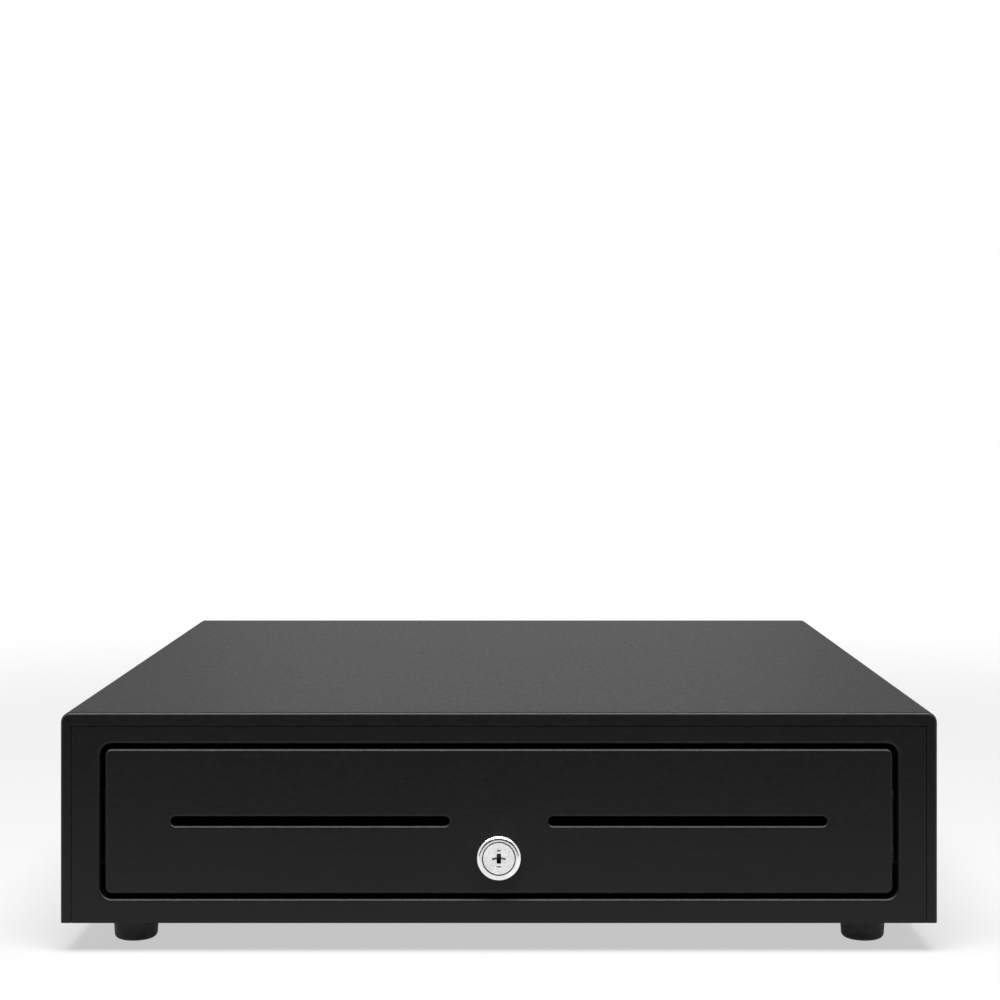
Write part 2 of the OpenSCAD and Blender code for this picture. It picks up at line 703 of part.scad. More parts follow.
module drawer_front() color("#242426") {
  e = front_edge_r;
  skin_in = front_r - 0.6 * (front_r - e);
  difference() {
    union() {
      translate([0, y_f, open_z]) rim(front_w, front_h, front_r)
        polygon(concat(arc([e, e], e, 180, 270, 6),
          [[front_r - 0.2, 0], [front_r - 0.2, t], [t, t], [t, front_depth + t / 2],
           [0, front_depth + t / 2]]));
      along_y(y_f, t) translate([0, open_z]) difference() {
        square([front_w - 2 * skin_in, front_h - 2 * skin_in], center = true);
        for (x = [-1, 1]) translate([x * slot_pitch / 2, 0])
          stadium(slot_len + 2 * slot_edge_r + 0.8, slot_h + 2 * slot_edge_r + 0.8);
      }
      // Inner return that the box is screwed to
      along_y(y_f + front_depth, t) translate([0, open_z]) difference() {
        rrect(front_w, front_h, front_r);
        square([front_w - 2 * front_return_w, front_h - 14], center = true);
      }
      // Rounded edges of the media slots
      for (x = [-1, 1]) translate([x * slot_pitch / 2, y_f, open_z]) slot_edge();
    }
    to_y([0, y_f - 1, lock_z]) cylinder(d = barrel_d + 2 * fit, h = t + 2);
    for (p = front_screw_points()) to_y([p[0], y_f + front_depth - 1, p[1]])
      cylinder(d = screw_d, h = t + 2);
  }
}

// Rolled edge of a media slot
module slot_edge() {
  e = slot_edge_r;
  r = slot_h / 2;
  w = slot_len;
  for (s = [0, 1]) mirror([s, 0, 0]) translate([w / 2 - r, 0, 0])
    rotate([90, 0, 0]) mirror([0, 0, 1]) rotate([0, 0, -90]) rotate_extrude(angle = 180)
      translate([r, 0]) slot_profile(e);
  for (k = [0, 1]) mirror([0, 0, k]) translate([w / 2 - r, 0, r]) rotate([0, -90, 0])
    linear_extrude(w - 2 * r) slot_profile(e);
}

module slot_profile(e) {
  polygon(concat([[e + 0.8, 0]], arc([e, e], e, 270, 180, 6), [[0, 3.5], [0.8, 3.5], [0.8, t], [e + 0.8, t]]));
}

module front_screws() color("#b9bcc0") for (p = front_screw_points())
  translate([p[0], box_front + t, p[1]]) rotate([-90, 0, 0]) screw(2 * t);

// Outer tray with bill compartments at the back and a bay for the coin tray
module cash_tray() color("#1d1d1f") difference() {
  union() {
    translate([-tray_half, tray_front, tray_z]) cube([2 * tray_half, tray_len, tray_top - tray_z]);
    translate([-box_half + 2 * fit, tray_front, wall_top]) cube([2 * box_half - 4 * fit, tray_len, tray_rim_t]);
  }
  for (i = [0 : bill_count - 1]) translate([bill_x(i), bill_y0 + bill_len / 2, tray_floor])
    linear_extrude(100) rrect(bill_w, bill_len, pocket_r);
  translate([0, tray_front + tray_wall + bay_len / 2, tray_floor])
    linear_extrude(100) square([2 * (tray_half - tray_wall), bay_len], center = true);
  translate([-tray_half - 1, hinge_y, hinge_z]) rotate([0, 90, 0])
    cylinder(d = clip_rod_d, h = 2 * tray_half + 2);
}

function bill_x(i) = (i - (bill_count - 1) / 2) * bill_pitch;

// Lift-out tray with scooped cups
module coin_tray() color("#202022") difference() {
  translate([-coin_w / 2, coin_y0, tray_floor]) cube([coin_w, coin_l, tray_top - tray_floor]);
  for (i = [0 : coin_cols - 1], j = [0 : coin_rows - 1])
    translate([cup_x(i), cup_y(j), 0]) intersection() {
      translate([0, 0, cup_floor]) linear_extrude(100) rrect(cup_w, cup_l, pocket_r);
      union() {
        translate([-cup_w, 0, cup_floor + scoop_r]) rotate([0, 90, 0])
          cylinder(r = scoop_r, h = 2 * cup_w, $fn = 96);
        translate([-cup_w, -cup_l, cup_floor + scoop_r]) cube([2 * cup_w, 2 * cup_l, 100]);
      }
    }
}

function cup_x(i) = (i - (coin_cols - 1) / 2) * (cup_w + tray_wall);
function cup_y(j) = coin_y0 + tray_wall + cup_l / 2 + j * (cup_l + tray_wall);

module clip_rod() color("#c4c7cb") translate([-tray_half, hinge_y, hinge_z]) rotate([0, 90, 0])
  cylinder(d = clip_rod_d, h = 2 * tray_half);

// A bill clip: two hub ears on the rod, an arm down to the floor and a rounded tip
module clip(i) color("#18181a") translate([bill_x(i), hinge_y, hinge_z]) rotate([clip_dip, 0, 0]) difference() {
  l = clip_len - clip_tip_r;
  union() {
    for (s = [-1, 1]) translate([s * (clip_w / 2 - 2.5) - 2.5, 0, 0]) {
      rotate([0, 90, 0]) cylinder(r = hub_r, h = 5);
      translate([0, -hub_r - 4, -clip_t / 2]) cube([5, hub_r + 4, clip_t]);
    }
    translate([-clip_w / 2, -l, -clip_t / 2]) cube([clip_w, l - hub_r - 1.5, clip_t]);
    translate([-clip_w / 2, -l, 0]) rotate([0, 90, 0]) cylinder(r = clip_tip_r, h = clip_w);
    for (s = [-1, 1]) translate([s * (clip_w / 2 - 1) - 1, -l, 0]) cube([2, l - hub_r, clip_t / 2 + 1.6]);
  }
  translate([-clip_w, 0, 0]) rotate([0, 90, 0]) cylinder(r = clip_rod_d / 2 + run_fit, h = 2 * clip_w);
  translate([0, -clip_len * 0.55, -clip_t]) linear_extrude(4 * clip_t)
    rrect(clip_w * 0.36, clip_len * 0.4, clip_w * 0.17);
}

module bill_clip_1() clip(0);
module bill_clip_2() clip(1);
module bill_clip_3() clip(2);
module bill_clip_4() clip(3);
module bill_clip_5() clip(4);

// Torsion spring between the ears of a clip, with a leg on the arm
module clip_spring(i) color("#d2d5d9") translate([bill_x(i), hinge_y, hinge_z]) rotate([clip_dip, 0, 0]) {
  r = clip_rod_d / 2 + 0.5 + clip_wire / 2;
  h = clip_w - 12;
  turns = 5;
  coil = [for (k = [0 : turns * 8]) let (a = k * 45 + 90, x = (k / (turns * 8) - 0.5) * h)
    [for (j = [0 : 5]) let (b = j * 60, q = r + clip_wire / 2 * cos(b))
      [x + clip_wire / 2 * sin(b), q * cos(a), q * sin(a)]]];
  low = (clip_t + clip_wire) / 2 + 0.15;
  leg = [for (q = [[3, r], [7, (r + low) / 2], [12, low]]) [for (j = [0 : 5]) let (b = j * 60)
    [h / 2 + clip_wire / 2 * sin(b), -q[0], q[1] + clip_wire / 2 * cos(b)]]];
  echo(clip_spring_self_gap = self_gap(coil, clip_wire));
  tube(concat(coil, leg), 6);
}

module clip_spring_1() clip_spring(0);
module clip_spring_2() clip_spring(1);
module clip_spring_3() clip_spring(2);
module clip_spring_4() clip_spring(3);
module clip_spring_5() clip_spring(4);

// Lock barrel: flange and ring in front of the panel, threaded barrel behind it
module lock_barrel() color("#d6d8db") to_y([0, y_f - lock_proud, lock_z]) difference() {
  rotate_extrude($fn = 96) {
    p = lock_proud;
    b = plug_d / 2 + run_fit;
    polygon(concat([[b + 0.5, 0]], arc([ring_d / 2 - 0.7, 0.7], 0.7, 270, 360, 6),
      [[ring_d / 2, p - 1.1], [ring_d / 2 - 0.4, p - 0.9], [collar_d / 2 - 0.2, p - 0.8],
       [collar_d / 2, p - 0.5], [collar_d / 2, p], [barrel_d / 2, p],
       [barrel_d / 2, p + barrel_len - 0.6], [barrel_d / 2 - 0.6, p + barrel_len],
       [b, p + barrel_len], [b, 0.5]]));
  }
}

module lock_nut() color("#b9bcc0") to_y([0, y_f + t, lock_z]) difference() {
  cylinder(d = nut_af / cos(30), h = nut_t, $fn = 6);
  translate([0, 0, -1]) cylinder(d = barrel_d, h = nut_t + 2);
}

// Plug with the keyway, and the socket for the rod behind
module lock_plug() color("#e2e4e6") difference() {
  plug_len = lock_proud + barrel_len + 4;
  to_y([0, y_f - lock_proud + 0.3, lock_z]) {
    cylinder(d = plug_d, h = plug_len - 4, $fn = 96);
    cylinder(d = plug_d - 4, h = plug_len);
  }
  translate([-keyway_w / 2, y_f - lock_proud - 1, lock_z - keyway_h / 2]) cube([keyway_w, 14, keyway_h]);
  translate([-1.5 * keyway_w, y_f - lock_proud - 1, lock_z - 0.4]) cube([3 * keyway_w, 2.2, 0.8]);
  to_y([0, y_f + barrel_len - 1, lock_z]) cylinder(d = rod_d, h = 20);
}

// Rod under the tray, with a crank behind the drawer; the crank is drawn with the key upright
module lock_rod() color("#b4b7bb") {
  y0 = y_f + barrel_len - 1;
  y1 = box_rear + 2;
  to_y([0, y0, lock_z]) cylinder(d = rod_d, h = y1 + 3 - y0);
  translate([0, 0, lock_z]) rotate([0, -45, 0]) {
    to_y([0, y1, -crank_r]) cylinder(d = crank_pin_d + 3, h = 3);
    translate([-crank_pin_d / 2 - 1, y1, -crank_r]) cube([crank_pin_d + 2, 3, crank_r]);
    to_y([0, y1, -crank_r]) cylinder(d = crank_pin_d, h = crank_y + 4 - y1);
    to_y([0, y1, 0]) cylinder(d = rod_d + 3, h = 3);
  }
}

module rod_bush() color("#d9d7cf") to_y([0, box_rear - t, lock_z]) difference() {
  union() {
    translate([0, 0, -1.5]) cylinder(r = rod_bore + 4, h = 1.5);
    cylinder(r = rod_bore + 2, h = t + 0.5);
  }
  translate([0, 0, -3]) cylinder(r = rod_bore, h = 8);
}

// Pin under the drawer that the hook catches
module striker() color("#b9bcc0") translate([striker_x, striker_y, 0]) {
  translate([0, 0, box_z - 2]) cylinder(d = striker_d + 6, h = 2);
  translate([0, 0, floor_z + latch_base_t + 0.5])
    cylinder(d = striker_d, h = box_z - floor_z - latch_base_t - 1);
}

// Plate on the base that carries the latch parts
module latch_base() color("#c9ccd0") difference() {
  union() {
    translate([plate_left, plate_front, floor_z])
      cube([plate_right - plate_left, plate_rear - plate_front, latch_base_t]);
    translate([plate_right, box_rear + 5, floor_z])
      cube([coil_len + 12, plate_rear - box_rear - 5, latch_base_t]);
    translate([spring_post_x, pivot_y + spring_back, floor_z]) cylinder(d = 4, h = spring_z() + 1.5 - floor_z);
  }
  for (p = latch_screw_points()) translate([p[0], p[1], floor_z - 1])
    cylinder(d = screw_d + 2 * fit, h = latch_base_t + 2);
}

module latch_screws() color("#b9bcc0") for (p = latch_screw_points())
  translate([p[0], p[1], floor_z + latch_base_t]) screw(latch_base_t + t);

function spring_z() = latch_z + latch_t + 2.6;

module latch_pivot() color("#b9bcc0") translate([0, pivot_y, floor_z + latch_base_t]) {
  h = latch_z - floor_z - latch_base_t;
  cylinder(d = pivot_d + 5, h = h - 0.1);
  cylinder(d = pivot_d, h = h + latch_t + 0.2);
  translate([0, 0, h + latch_t + 0.15]) cylinder(d = pivot_d + 4, h = 1.6);
}

// Hook, drawn half-way through its swing about the pivot
module hook_shape() {
  a = half_swing;
  px = striker_x * cos(a) - striker_arm * sin(a);
  py = -striker_x * sin(a) - striker_arm * cos(a);
  g = striker_d / 2 + hook_gap;
  difference() {
    union() {
      circle(r = pivot_d / 2 + 5);
      polygon([[-pivot_d / 2 - 5, 0], [px - g - 9, py + 8], [px - g - 9, py - g - 3], [px - g - 5, py - g - 7],
        [px + 0.5, py - g - 4], [px + 2.6, py - g - 0.5], [px + 2.6, py - g], [px - g, py - g],
        [px - g, py + 6], [pivot_d / 2 + 5, 0]]);
      translate([-5, 0]) square([10.5, tail_arm + 2.5]);
      translate([-5, tail_arm]) square([10, post_arm - tail_arm + 4]);
    }
    circle(r = pivot_d / 2 + run_fit);
  }
}

module latch_hook() color("#b0b3b7") translate([0, pivot_y, 0]) rotate([0, 0, -half_swing]) {
  translate([0, 0, latch_z]) linear_extrude(latch_t) hook_shape();
  // Tab that the crank pushes
  translate([crank_pin_d / 2 + 1, tail_arm - 2.2, latch_z]) cube([2.5, 4.4, lock_z + 1 - latch_z]);
  // Post in the plunger's eye and stud for the spring
  translate([0, post_arm, latch_z]) cylinder(d = 4, h = plunger_z + 4 - latch_z);
  translate([spring_stud_x, spring_back, latch_z]) cylinder(d = 3, h = spring_z() - latch_z + 1.5);
}

// Return spring between the plate's post and the hook's stud
module latch_spring() color("#d2d5d9") {
  p = [spring_post_x, pivot_y + spring_back, spring_z()];
  q0 = [spring_stud_x, spring_back];
  a = -half_swing;
  q = [q0[0] * cos(a) - q0[1] * sin(a), pivot_y + q0[0] * sin(a) + q0[1] * cos(a), spring_z()];
  d = q - p;
  l = norm(d);
  w = 0.8;
  rings = helix(1.9, w, 10, l - 5.1, 6, 0);
  echo(latch_spring_self_gap = self_gap(rings, w));
  translate(p) rotate([0, 0, atan2(d[1], d[0])]) translate([2.8, 0, 0]) rotate([0, 90, 0])
    tube(rings, 6);
}

module solenoid_yoke() color("#9fa3a8") difference() {
  y = post_y;
  union() {
    for (x = [coil_x, coil_x + coil_len + 2]) translate([x, y - 9.5, floor_z + latch_base_t])
      cube([2, 19, plunger_z + coil_d / 2 + 2 - floor_z - latch_base_t]);
    translate([coil_x, y - 9.5, plunger_z + coil_d / 2 + 0.5]) cube([coil_len + 4, 19, 2]);
  }
  translate([coil_x - 1, y, plunger_z]) rotate([0, 90, 0]) cylinder(d = plunger_d + 1, h = 4);
}

module solenoid_coil() color("#a5482a") translate([coil_x + 2, post_y, plunger_z]) rotate([0, 90, 0])
 difference() {
  union() {
    cylinder(d = coil_d, h = 1.5);
    cylinder(d = coil_d - 2, h = coil_len);
    translate([0, 0, coil_len - 1.5]) cylinder(d = coil_d, h = 1.5);
  }
  translate([0, 0, -1]) cylinder(d = plunger_d + 0.5, h = coil_len - 3);
}

// Plunger pulled in, as with the key upright; its eye goes around the hook's post
module solenoid_plunger() color("#c4c7cb") difference() {
  union() {
    translate([post_x + 7, post_y, plunger_z]) rotate([0, 90, 0])
      cylinder(d = plunger_d, h = coil_x + coil_len - 6 - post_x - 7);
    translate([post_x - 5.5, post_y - 3.9, plunger_z - 1.5]) cube([13.5, 7.8, 3]);
  }
  translate([post_x, post_y - 0.25, plunger_z - 5]) linear_extrude(10) {
    translate([0, -0.8]) circle(d = 4.8);
    translate([0, 0.8]) circle(d = 4.8);
    square([4.8, 1.6], center = true);
  }
}

// Sensing switch beside the hook, with the post of its leaf
module switch_body() color("#26262a") {
  z = floor_z + latch_base_t;
  translate([lever_x - 13.5, pivot_y - 16, z]) cube([10, 20, 6.5]);
  translate([lever_x - 13.5, pivot_y + 3, z]) cube([15.5, 5, 1]);
  translate([lever_x, lever_y, z]) cylinder(d = 2, h = 5.5);
  translate([lever_x - 4, pivot_y - 10, latch_z + 1.5]) rotate([0, 90, 0]) cylinder(d = 2, h = 2);
}

// Leaf of the switch, pressed aside by the hook while the hook is free of the striker
module switch_lever() color("#c4c7cb") translate([lever_x, lever_y, 0]) rotate([0, 0, lever_rest])
 difference() {
  union() {
    translate([0, 0, latch_z]) cylinder(d = 3.6, h = 3);
    translate([-0.4, -19, latch_z]) cube([0.8, 18, 3]);
  }
  translate([0, 0, latch_z - 1]) cylinder(r = 1 + run_fit, h = 6);
}

// Housing of the cord socket, open to the rear
module cord_socket() color("#2d2d30") {
  w = jack_w + 4;
  h = jack_h + 6;
  difference() {
    translate([-jack_x - w / 2, y_r - jack_depth, jack_z - h / 2]) cube([w, jack_depth, h]);
    translate([-jack_x - jack_w / 2, y_r - jack_depth + 2, jack_z - jack_h / 2])
      cube([jack_w, jack_depth, jack_h]);
    translate([-jack_x - 3.2, y_r - jack_depth + 2, jack_z - jack_h / 2 - 1.6]) cube([6.4, jack_depth, 2]);
    translate([-jack_x - 1.6, y_r - jack_depth + 2, jack_z - jack_h / 2 - 2.6]) cube([3.2, jack_depth, 2]);
  }
  translate([-jack_x - w / 2, y_r - jack_depth, floor_z])
    cube([w, jack_depth - 3, jack_z - h / 2 - floor_z + 0.1]);
}

// A ring of n points of radius r about p, square to the direction d
function ring(p, d, r, n) =
  let (a = d / norm(d), u0 = abs(a[2]) > 0.9 ? cross(a, [0, 1, 0]) : cross(a, [0, 0, 1]),
    u = u0 / norm(u0), v = cross(a, u))
  [for (j = [0 : n - 1]) let (b = -j * 360 / n) p + r * cos(b) * u + r * sin(b) * v];

// Wires from the socket along the base's rear edge to the solenoid
module wire_loom() color("#8d2a22") {
  yb = y_r - 6;
  r = 1.3;
  z = floor_z + r + 0.2;
  zb = z + latch_base_t;
  c = coil_x + coil_len / 2;
  path = [[-jack_x + jack_w / 2 + 2.2, yb, z + 2], [-jack_x + jack_w / 2 + 9, yb, z + 1.6],
    [-jack_x + jack_w / 2 + 16, yb, z], [-60, yb, z], [-52, yb, z + 0.6], [-45, yb, zb], [10, yb, zb],
    [c - 6, yb, zb], [c - 1, yb, zb + 1], [c + 2, yb, zb + 4], [c + 3, yb, zb + 8],
    [c + 3, yb - 0.5, plunger_z], [c + 3, yb - 2.5, plunger_z + 1.5],
    [c + 3, post_y + coil_d / 2 - 0.6, plunger_z + 1.8]];
  m = len(path) - 1;
  tube([for (i = [0 : m]) ring(path[i], path[min(i + 1, m)] - path[max(i - 1, 0)], r, 8)], 8);
}

// Pins on the rear panel that hold the ejector springs
module eject_guides() color("#b9bcc0") for (x = [-1, 1]) to_y([x * eject_x, 0, eject_z]) {
  translate([0, 0, y_r - t - 20]) cylinder(d = eject_d - 2 * eject_wire - 1.6, h = 20);
  translate([0, 0, y_r - t]) cylinder(d = 4, h = t);
}

module eject_spring(s) color("#d2d5d9") {
  rings = helix((eject_d - eject_wire) / 2, eject_wire, eject_turns, eject_len - eject_wire, 6, 0);
  echo(eject_spring_self_gap = self_gap(rings, eject_wire));
  to_y([s * eject_x, eject_y0 + eject_wire / 2, eject_z]) tube(rings, 6);
}

module eject_spring_left() eject_spring(-1);
module eject_spring_right() eject_spring(1);

base_plate();
top_cover();
front_frame();
rear_panel();
foot_front_left();
foot_front_right();
foot_rear_left();
foot_rear_right();
foot_screws();
cover_screws();
slide_bracket_left();
slide_bracket_right();
slide_outer_left();
slide_outer_right();
slide_rivets();
bracket_screws();
latch_base();
latch_screws();
latch_pivot();
latch_spring();
solenoid_yoke();
solenoid_coil();
switch_body();
cord_socket();
wire_loom();
eject_guides();
eject_spring_left();
eject_spring_right();
drawer_box();
drawer_front();
front_screws();
slide_inner_left();
slide_inner_right();
cash_tray();
coin_tray();
clip_rod();
lock_barrel();
lock_nut();
rod_bush();
striker();
lock_plug();
lock_rod();
latch_hook();
solenoid_plunger();
switch_lever();
ball_cage_left();
ball_cage_right();
slide_balls_left();
slide_balls_right();
bill_clip_1();
bill_clip_2();
bill_clip_3();
bill_clip_4();
bill_clip_5();
clip_spring_1();
clip_spring_2();
clip_spring_3();
clip_spring_4();
clip_spring_5();
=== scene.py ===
"""Cash drawer: finished pieces, materials and a studio stage around the packed frame."""

import json
import math

import bmesh
import bpy
from mathutils import Matrix, Vector

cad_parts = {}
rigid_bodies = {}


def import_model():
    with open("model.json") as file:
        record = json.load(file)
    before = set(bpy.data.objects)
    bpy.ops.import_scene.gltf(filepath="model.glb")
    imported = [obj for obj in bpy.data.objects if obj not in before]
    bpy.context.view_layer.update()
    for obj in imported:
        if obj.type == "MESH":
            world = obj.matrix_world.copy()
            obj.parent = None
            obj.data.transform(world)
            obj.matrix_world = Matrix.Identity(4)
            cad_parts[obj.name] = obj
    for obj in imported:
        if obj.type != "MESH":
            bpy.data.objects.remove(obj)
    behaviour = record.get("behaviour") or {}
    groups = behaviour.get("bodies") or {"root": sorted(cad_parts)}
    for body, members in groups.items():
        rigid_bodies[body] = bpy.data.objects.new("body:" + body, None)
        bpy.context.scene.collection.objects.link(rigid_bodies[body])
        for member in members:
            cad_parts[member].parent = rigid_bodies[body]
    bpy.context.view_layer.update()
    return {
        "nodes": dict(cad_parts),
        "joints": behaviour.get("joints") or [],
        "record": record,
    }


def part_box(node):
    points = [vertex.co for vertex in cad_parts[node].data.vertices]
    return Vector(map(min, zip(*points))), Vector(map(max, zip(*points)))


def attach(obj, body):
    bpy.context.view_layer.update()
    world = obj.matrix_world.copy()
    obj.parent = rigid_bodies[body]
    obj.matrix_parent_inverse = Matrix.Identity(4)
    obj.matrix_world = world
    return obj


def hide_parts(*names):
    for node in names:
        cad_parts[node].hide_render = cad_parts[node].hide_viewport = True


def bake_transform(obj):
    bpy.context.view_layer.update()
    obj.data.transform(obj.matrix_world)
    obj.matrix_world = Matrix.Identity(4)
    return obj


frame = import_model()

bl_info = {
    "name": "Cash Drawer",
    "version": (1, 0, 0),
    "blender": (4, 5, 0),
    "location": "View3D > Sidebar > Cash Drawer",
    "description": "Models the finished pieces of a cash drawer, its materials and a studio stage",
    "category": "Object",
}

UP = Vector((0, 0, 1))
DEPTH = Vector((0, 1, 0))
SPAN = Vector((1, 0, 0))
AXIS = {"x": SPAN, "y": DEPTH, "z": UP}
QUARTER = math.pi / 2
# Points closer than the first along an axis are at one level, points closer than the second are merged
LEVEL, DOUBLE = 1e-5, 1e-6
JOINT_AT = {j["name"]: Vector(j["pos_m"]) for j in frame["joints"] if "pos_m" in j}
BODY_OF = {node: body for body, nodes in frame["record"]["behaviour"]["bodies"].items() for node in nodes}
SLOT_OF = {part["node"]: part["material_slot"] for part in frame["record"]["subparts"]}


def length(name, text, value):
    """A size in metres that a user may change."""
    return bpy.props.FloatProperty(name=name, description=text, default=value, precision=5, unit="LENGTH")


def number(name, text, value):
    """A plain number that a user may change."""
    return bpy.props.FloatProperty(name=name, description=text, default=value, precision=3)


def count(name, text, value):
    """A count that a user may change."""
    return bpy.props.IntProperty(name=name, description=text, default=value, min=1)


def tint(name, text, value):
    """A linear colour that a user may change."""
    return bpy.props.FloatVectorProperty(
        name=name, description=text, default=value, subtype="COLOR", size=3, min=0, max=1
    )


def spot(name, text, value):
    """A place that a user may change."""
    return bpy.props.FloatVectorProperty(name=name, description=text, default=value, subtype="TRANSLATION")


class CasingSizes(bpy.types.PropertyGroup):
    """Sizes of the folded sheet casing."""

    sheet: length("Sheet", "Thickness of the steel sheet", 0.001)
    top_bend: length("Top bend", "Outer radius of the long top edges", 0.0048)
    front_bend: length("Front bend", "Outer radius of the cover's front edge", 0.0016)
    under_bend: length("Under bend", "Outer radius of the edges under the sides", 0.0012)
    side_return: length("Side return", "Width of the cover's return at each side of the front", 0.005)
    top_return: length("Top return", "Height of the cover's return along the top of the front", 0.0063)
    seam: length("Seam", "Gap between the cover's return and the front frame", 0.0003)
    bottom_lip: length("Bottom lip", "Width of the cover's lips under the base", 0.014)
    rear_lip: length("Rear lip", "Width of the cover's lips behind the rear panel", 0.012)
    screw_hole: length("Screw hole", "Diameter of the holes for the casing's screws", 0.0036)


class FrontSizes(bpy.types.PropertyGroup):
    """Sizes of the front opening, the drawer front and its slots."""

    side_margin: length("Side margin", "Frame width at each side of the opening", 0.0184)
    top_margin: length("Top margin", "Frame height above the opening", 0.0147)
    bottom_margin: length("Bottom margin", "Frame height below the opening", 0.0112)
    opening_corner: length("Opening corner", "Corner radius of the opening", 0.0055)
    opening_edge: length("Opening edge", "Rounding of the opening's edge", 0.0014)
    opening_depth: length("Opening depth", "Depth of the rim folded in around the opening", 0.012)
    panel_corner: length("Panel corner", "Corner radius of the drawer front", 0.0031)
    panel_edge: length("Panel edge", "Rounding of the drawer front's edge", 0.0014)
    panel_return: length("Panel return", "Width of the drawer front's inner return", 0.007)
    screw_return: length("Screw return", "Width of the inner return that takes the box's screws", 0.017)
    slot_length: length("Slot length", "Clear length of a media slot", 0.1302)
    slot_height: length("Slot height", "Clear height of a media slot", 0.0044)
    slot_edge: length("Slot edge", "Rounding of a slot's edge", 0.0011)
    slot_depth: length("Slot depth", "Depth of a slot's rolled lip", 0.0035)
    slot_pitch: length("Slot pitch", "Distance between the slots' centres", 0.1766)


class LockSizes(bpy.types.PropertyGroup):
    """Sizes of the key lock."""

    face: length("Face", "Diameter of the collar's flat face", 0.0174)
    slope: number("Slope", "Slope of the collar's edge in degrees", 35.5)
    shoulder: length("Shoulder", "Rounding between the collar's face and its slope", 0.0014)
    brim: length("Brim", "Rounding between the slope and the collar's side", 0.0006)
    plug: length("Plug", "Diameter of the turning plug", 0.0157)
    barrel: length("Barrel", "Diameter of the threaded barrel", 0.018)
    proud: length("Proud", "How far the lock stands in front of the panel", 0.0036)
    keyway_width: length("Keyway width", "Width of the keyway", 0.0021)
    keyway_height: length("Keyway height", "Height of the keyway", 0.0046)
    ward_span: length("Ward span", "Width of the side wards across the keyway", 0.0064)


class TraySizes(bpy.types.PropertyGroup):
    """Sizes of the cash tray, the coin tray and the bill clips."""

    wall: length("Wall", "Wall thickness of the trays", 0.002)
    rim: length("Rim", "Thickness of the cash tray's rim", 0.0022)
    overhang: length("Overhang", "How far the rim stands out over the box's ledges", 0.0047)
    pocket_corner: length("Pocket corner", "Corner radius of the pockets", 0.004)
    edge: length("Edge", "Rounding of the moulded top edges", 0.0006)
    fillet: length("Fillet", "Rounding of the pockets' floors", 0.0015)
    bill_length: length("Bill length", "Length of a bill compartment", 0.158)
    bills: count("Bills", "Bill compartments across the tray", 5)
    columns: count("Columns", "Coin cups across the tray", 4)
    rows: count("Rows", "Rows of coin cups", 2)
    scoop: length("Scoop", "Radius of the scooped floor of a coin cup", 0.042)
    clip_length: length("Clip length", "Length of a clip from its hinge to its tip", 0.058)
    clip_width: length("Clip width", "Width of a clip's arm", 0.022)
    clip_sheet: length("Clip thickness", "Thickness of a clip's arm", 0.0024)
    clip_tip: length("Clip tip", "Radius of a clip's rounded tip", 0.003)
    rod: length("Rod", "Diameter of the rod that carries the clips", 0.004)
    hinge_height: length("Hinge height", "Height of the hinge above the compartment's floor", 0.02)


class HardwareSizes(bpy.types.PropertyGroup):
    """Sizes of screws, springs and wires."""

    shank: length("Shank", "Diameter of the screws", 0.003)
    head: length("Head", "Diameter of the screw heads", 0.006)
    head_height: length("Head height", "Height of the screw heads", 0.0018)
    eject_wire: length("Ejector wire", "Wire of an ejector spring", 0.0014)
    eject_turns: count("Ejector turns", "Turns of an ejector spring", 7)
    latch_wire: length("Latch wire", "Wire of the latch spring", 0.0008)
    latch_turns: count("Latch turns", "Turns of the latch spring", 10)
    latch_post: length("Latch post", "Diameter of the post that holds the latch spring", 0.004)
    latch_stud: length("Latch stud", "Diameter of the hook's stud that the latch spring pulls", 0.003)
    post_gap: length("Post gap", "From the post's axis to the latch spring's coil", 0.0028)
    stud_gap: length("Stud gap", "From the stud's axis to the latch spring's coil", 0.0023)
    clip_wire: length("Clip wire", "Wire of a clip's torsion spring", 0.0009)
    clip_turns: count("Clip turns", "Turns of a clip's torsion spring", 5)
    loom: length("Loom", "Diameter of the wires to the solenoid", 0.0026)
    broken_edge: length("Broken edge", "Width of the softened edges of stamped and moulded pieces", 0.00025)


class FinishColours(bpy.types.PropertyGroup):
    """Base colours of the finishes, linear."""

    powder_coat: tint("Powder coat", "Textured satin black of the casing", (0.0037, 0.0037, 0.0039))
    # Rubber black, lifted a little above the rubber's own tone as painted light against the shade under the
    # casing
    rubber: tint("Rubber", "Moulded feet", (0.03, 0.03, 0.03))
    zinc: tint("Zinc", "Zinc-plated slides and brackets", (0.56, 0.57, 0.59))
    fastener: tint("Fastener", "Plated screws and rivets", (0.52, 0.53, 0.55))
    black_oxide: tint("Black oxide", "Blackened casing screws", (0.03, 0.03, 0.031))
    spring: tint("Spring steel", "Drawn spring wire, rod and balls", (0.68, 0.69, 0.71))
    chrome: tint("Chrome", "Plated lock", (0.88, 0.884, 0.89))
    tray: tint("Tray", "Moulded trays", (0.016, 0.016, 0.017))
    clip: tint("Clip", "Moulded bill clips", (0.02, 0.02, 0.021))
    switch: tint("Switch", "Switch housing and cord socket", (0.024, 0.024, 0.027))
    tape: tint("Tape", "Tape around the coil", (0.33, 0.11, 0.03))
    sleeve: tint("Sleeve", "Insulation of the wires", (0.05, 0.05, 0.055))
    nylon: tint("Nylon", "Bush of the lock's rod", (0.72, 0.70, 0.63))


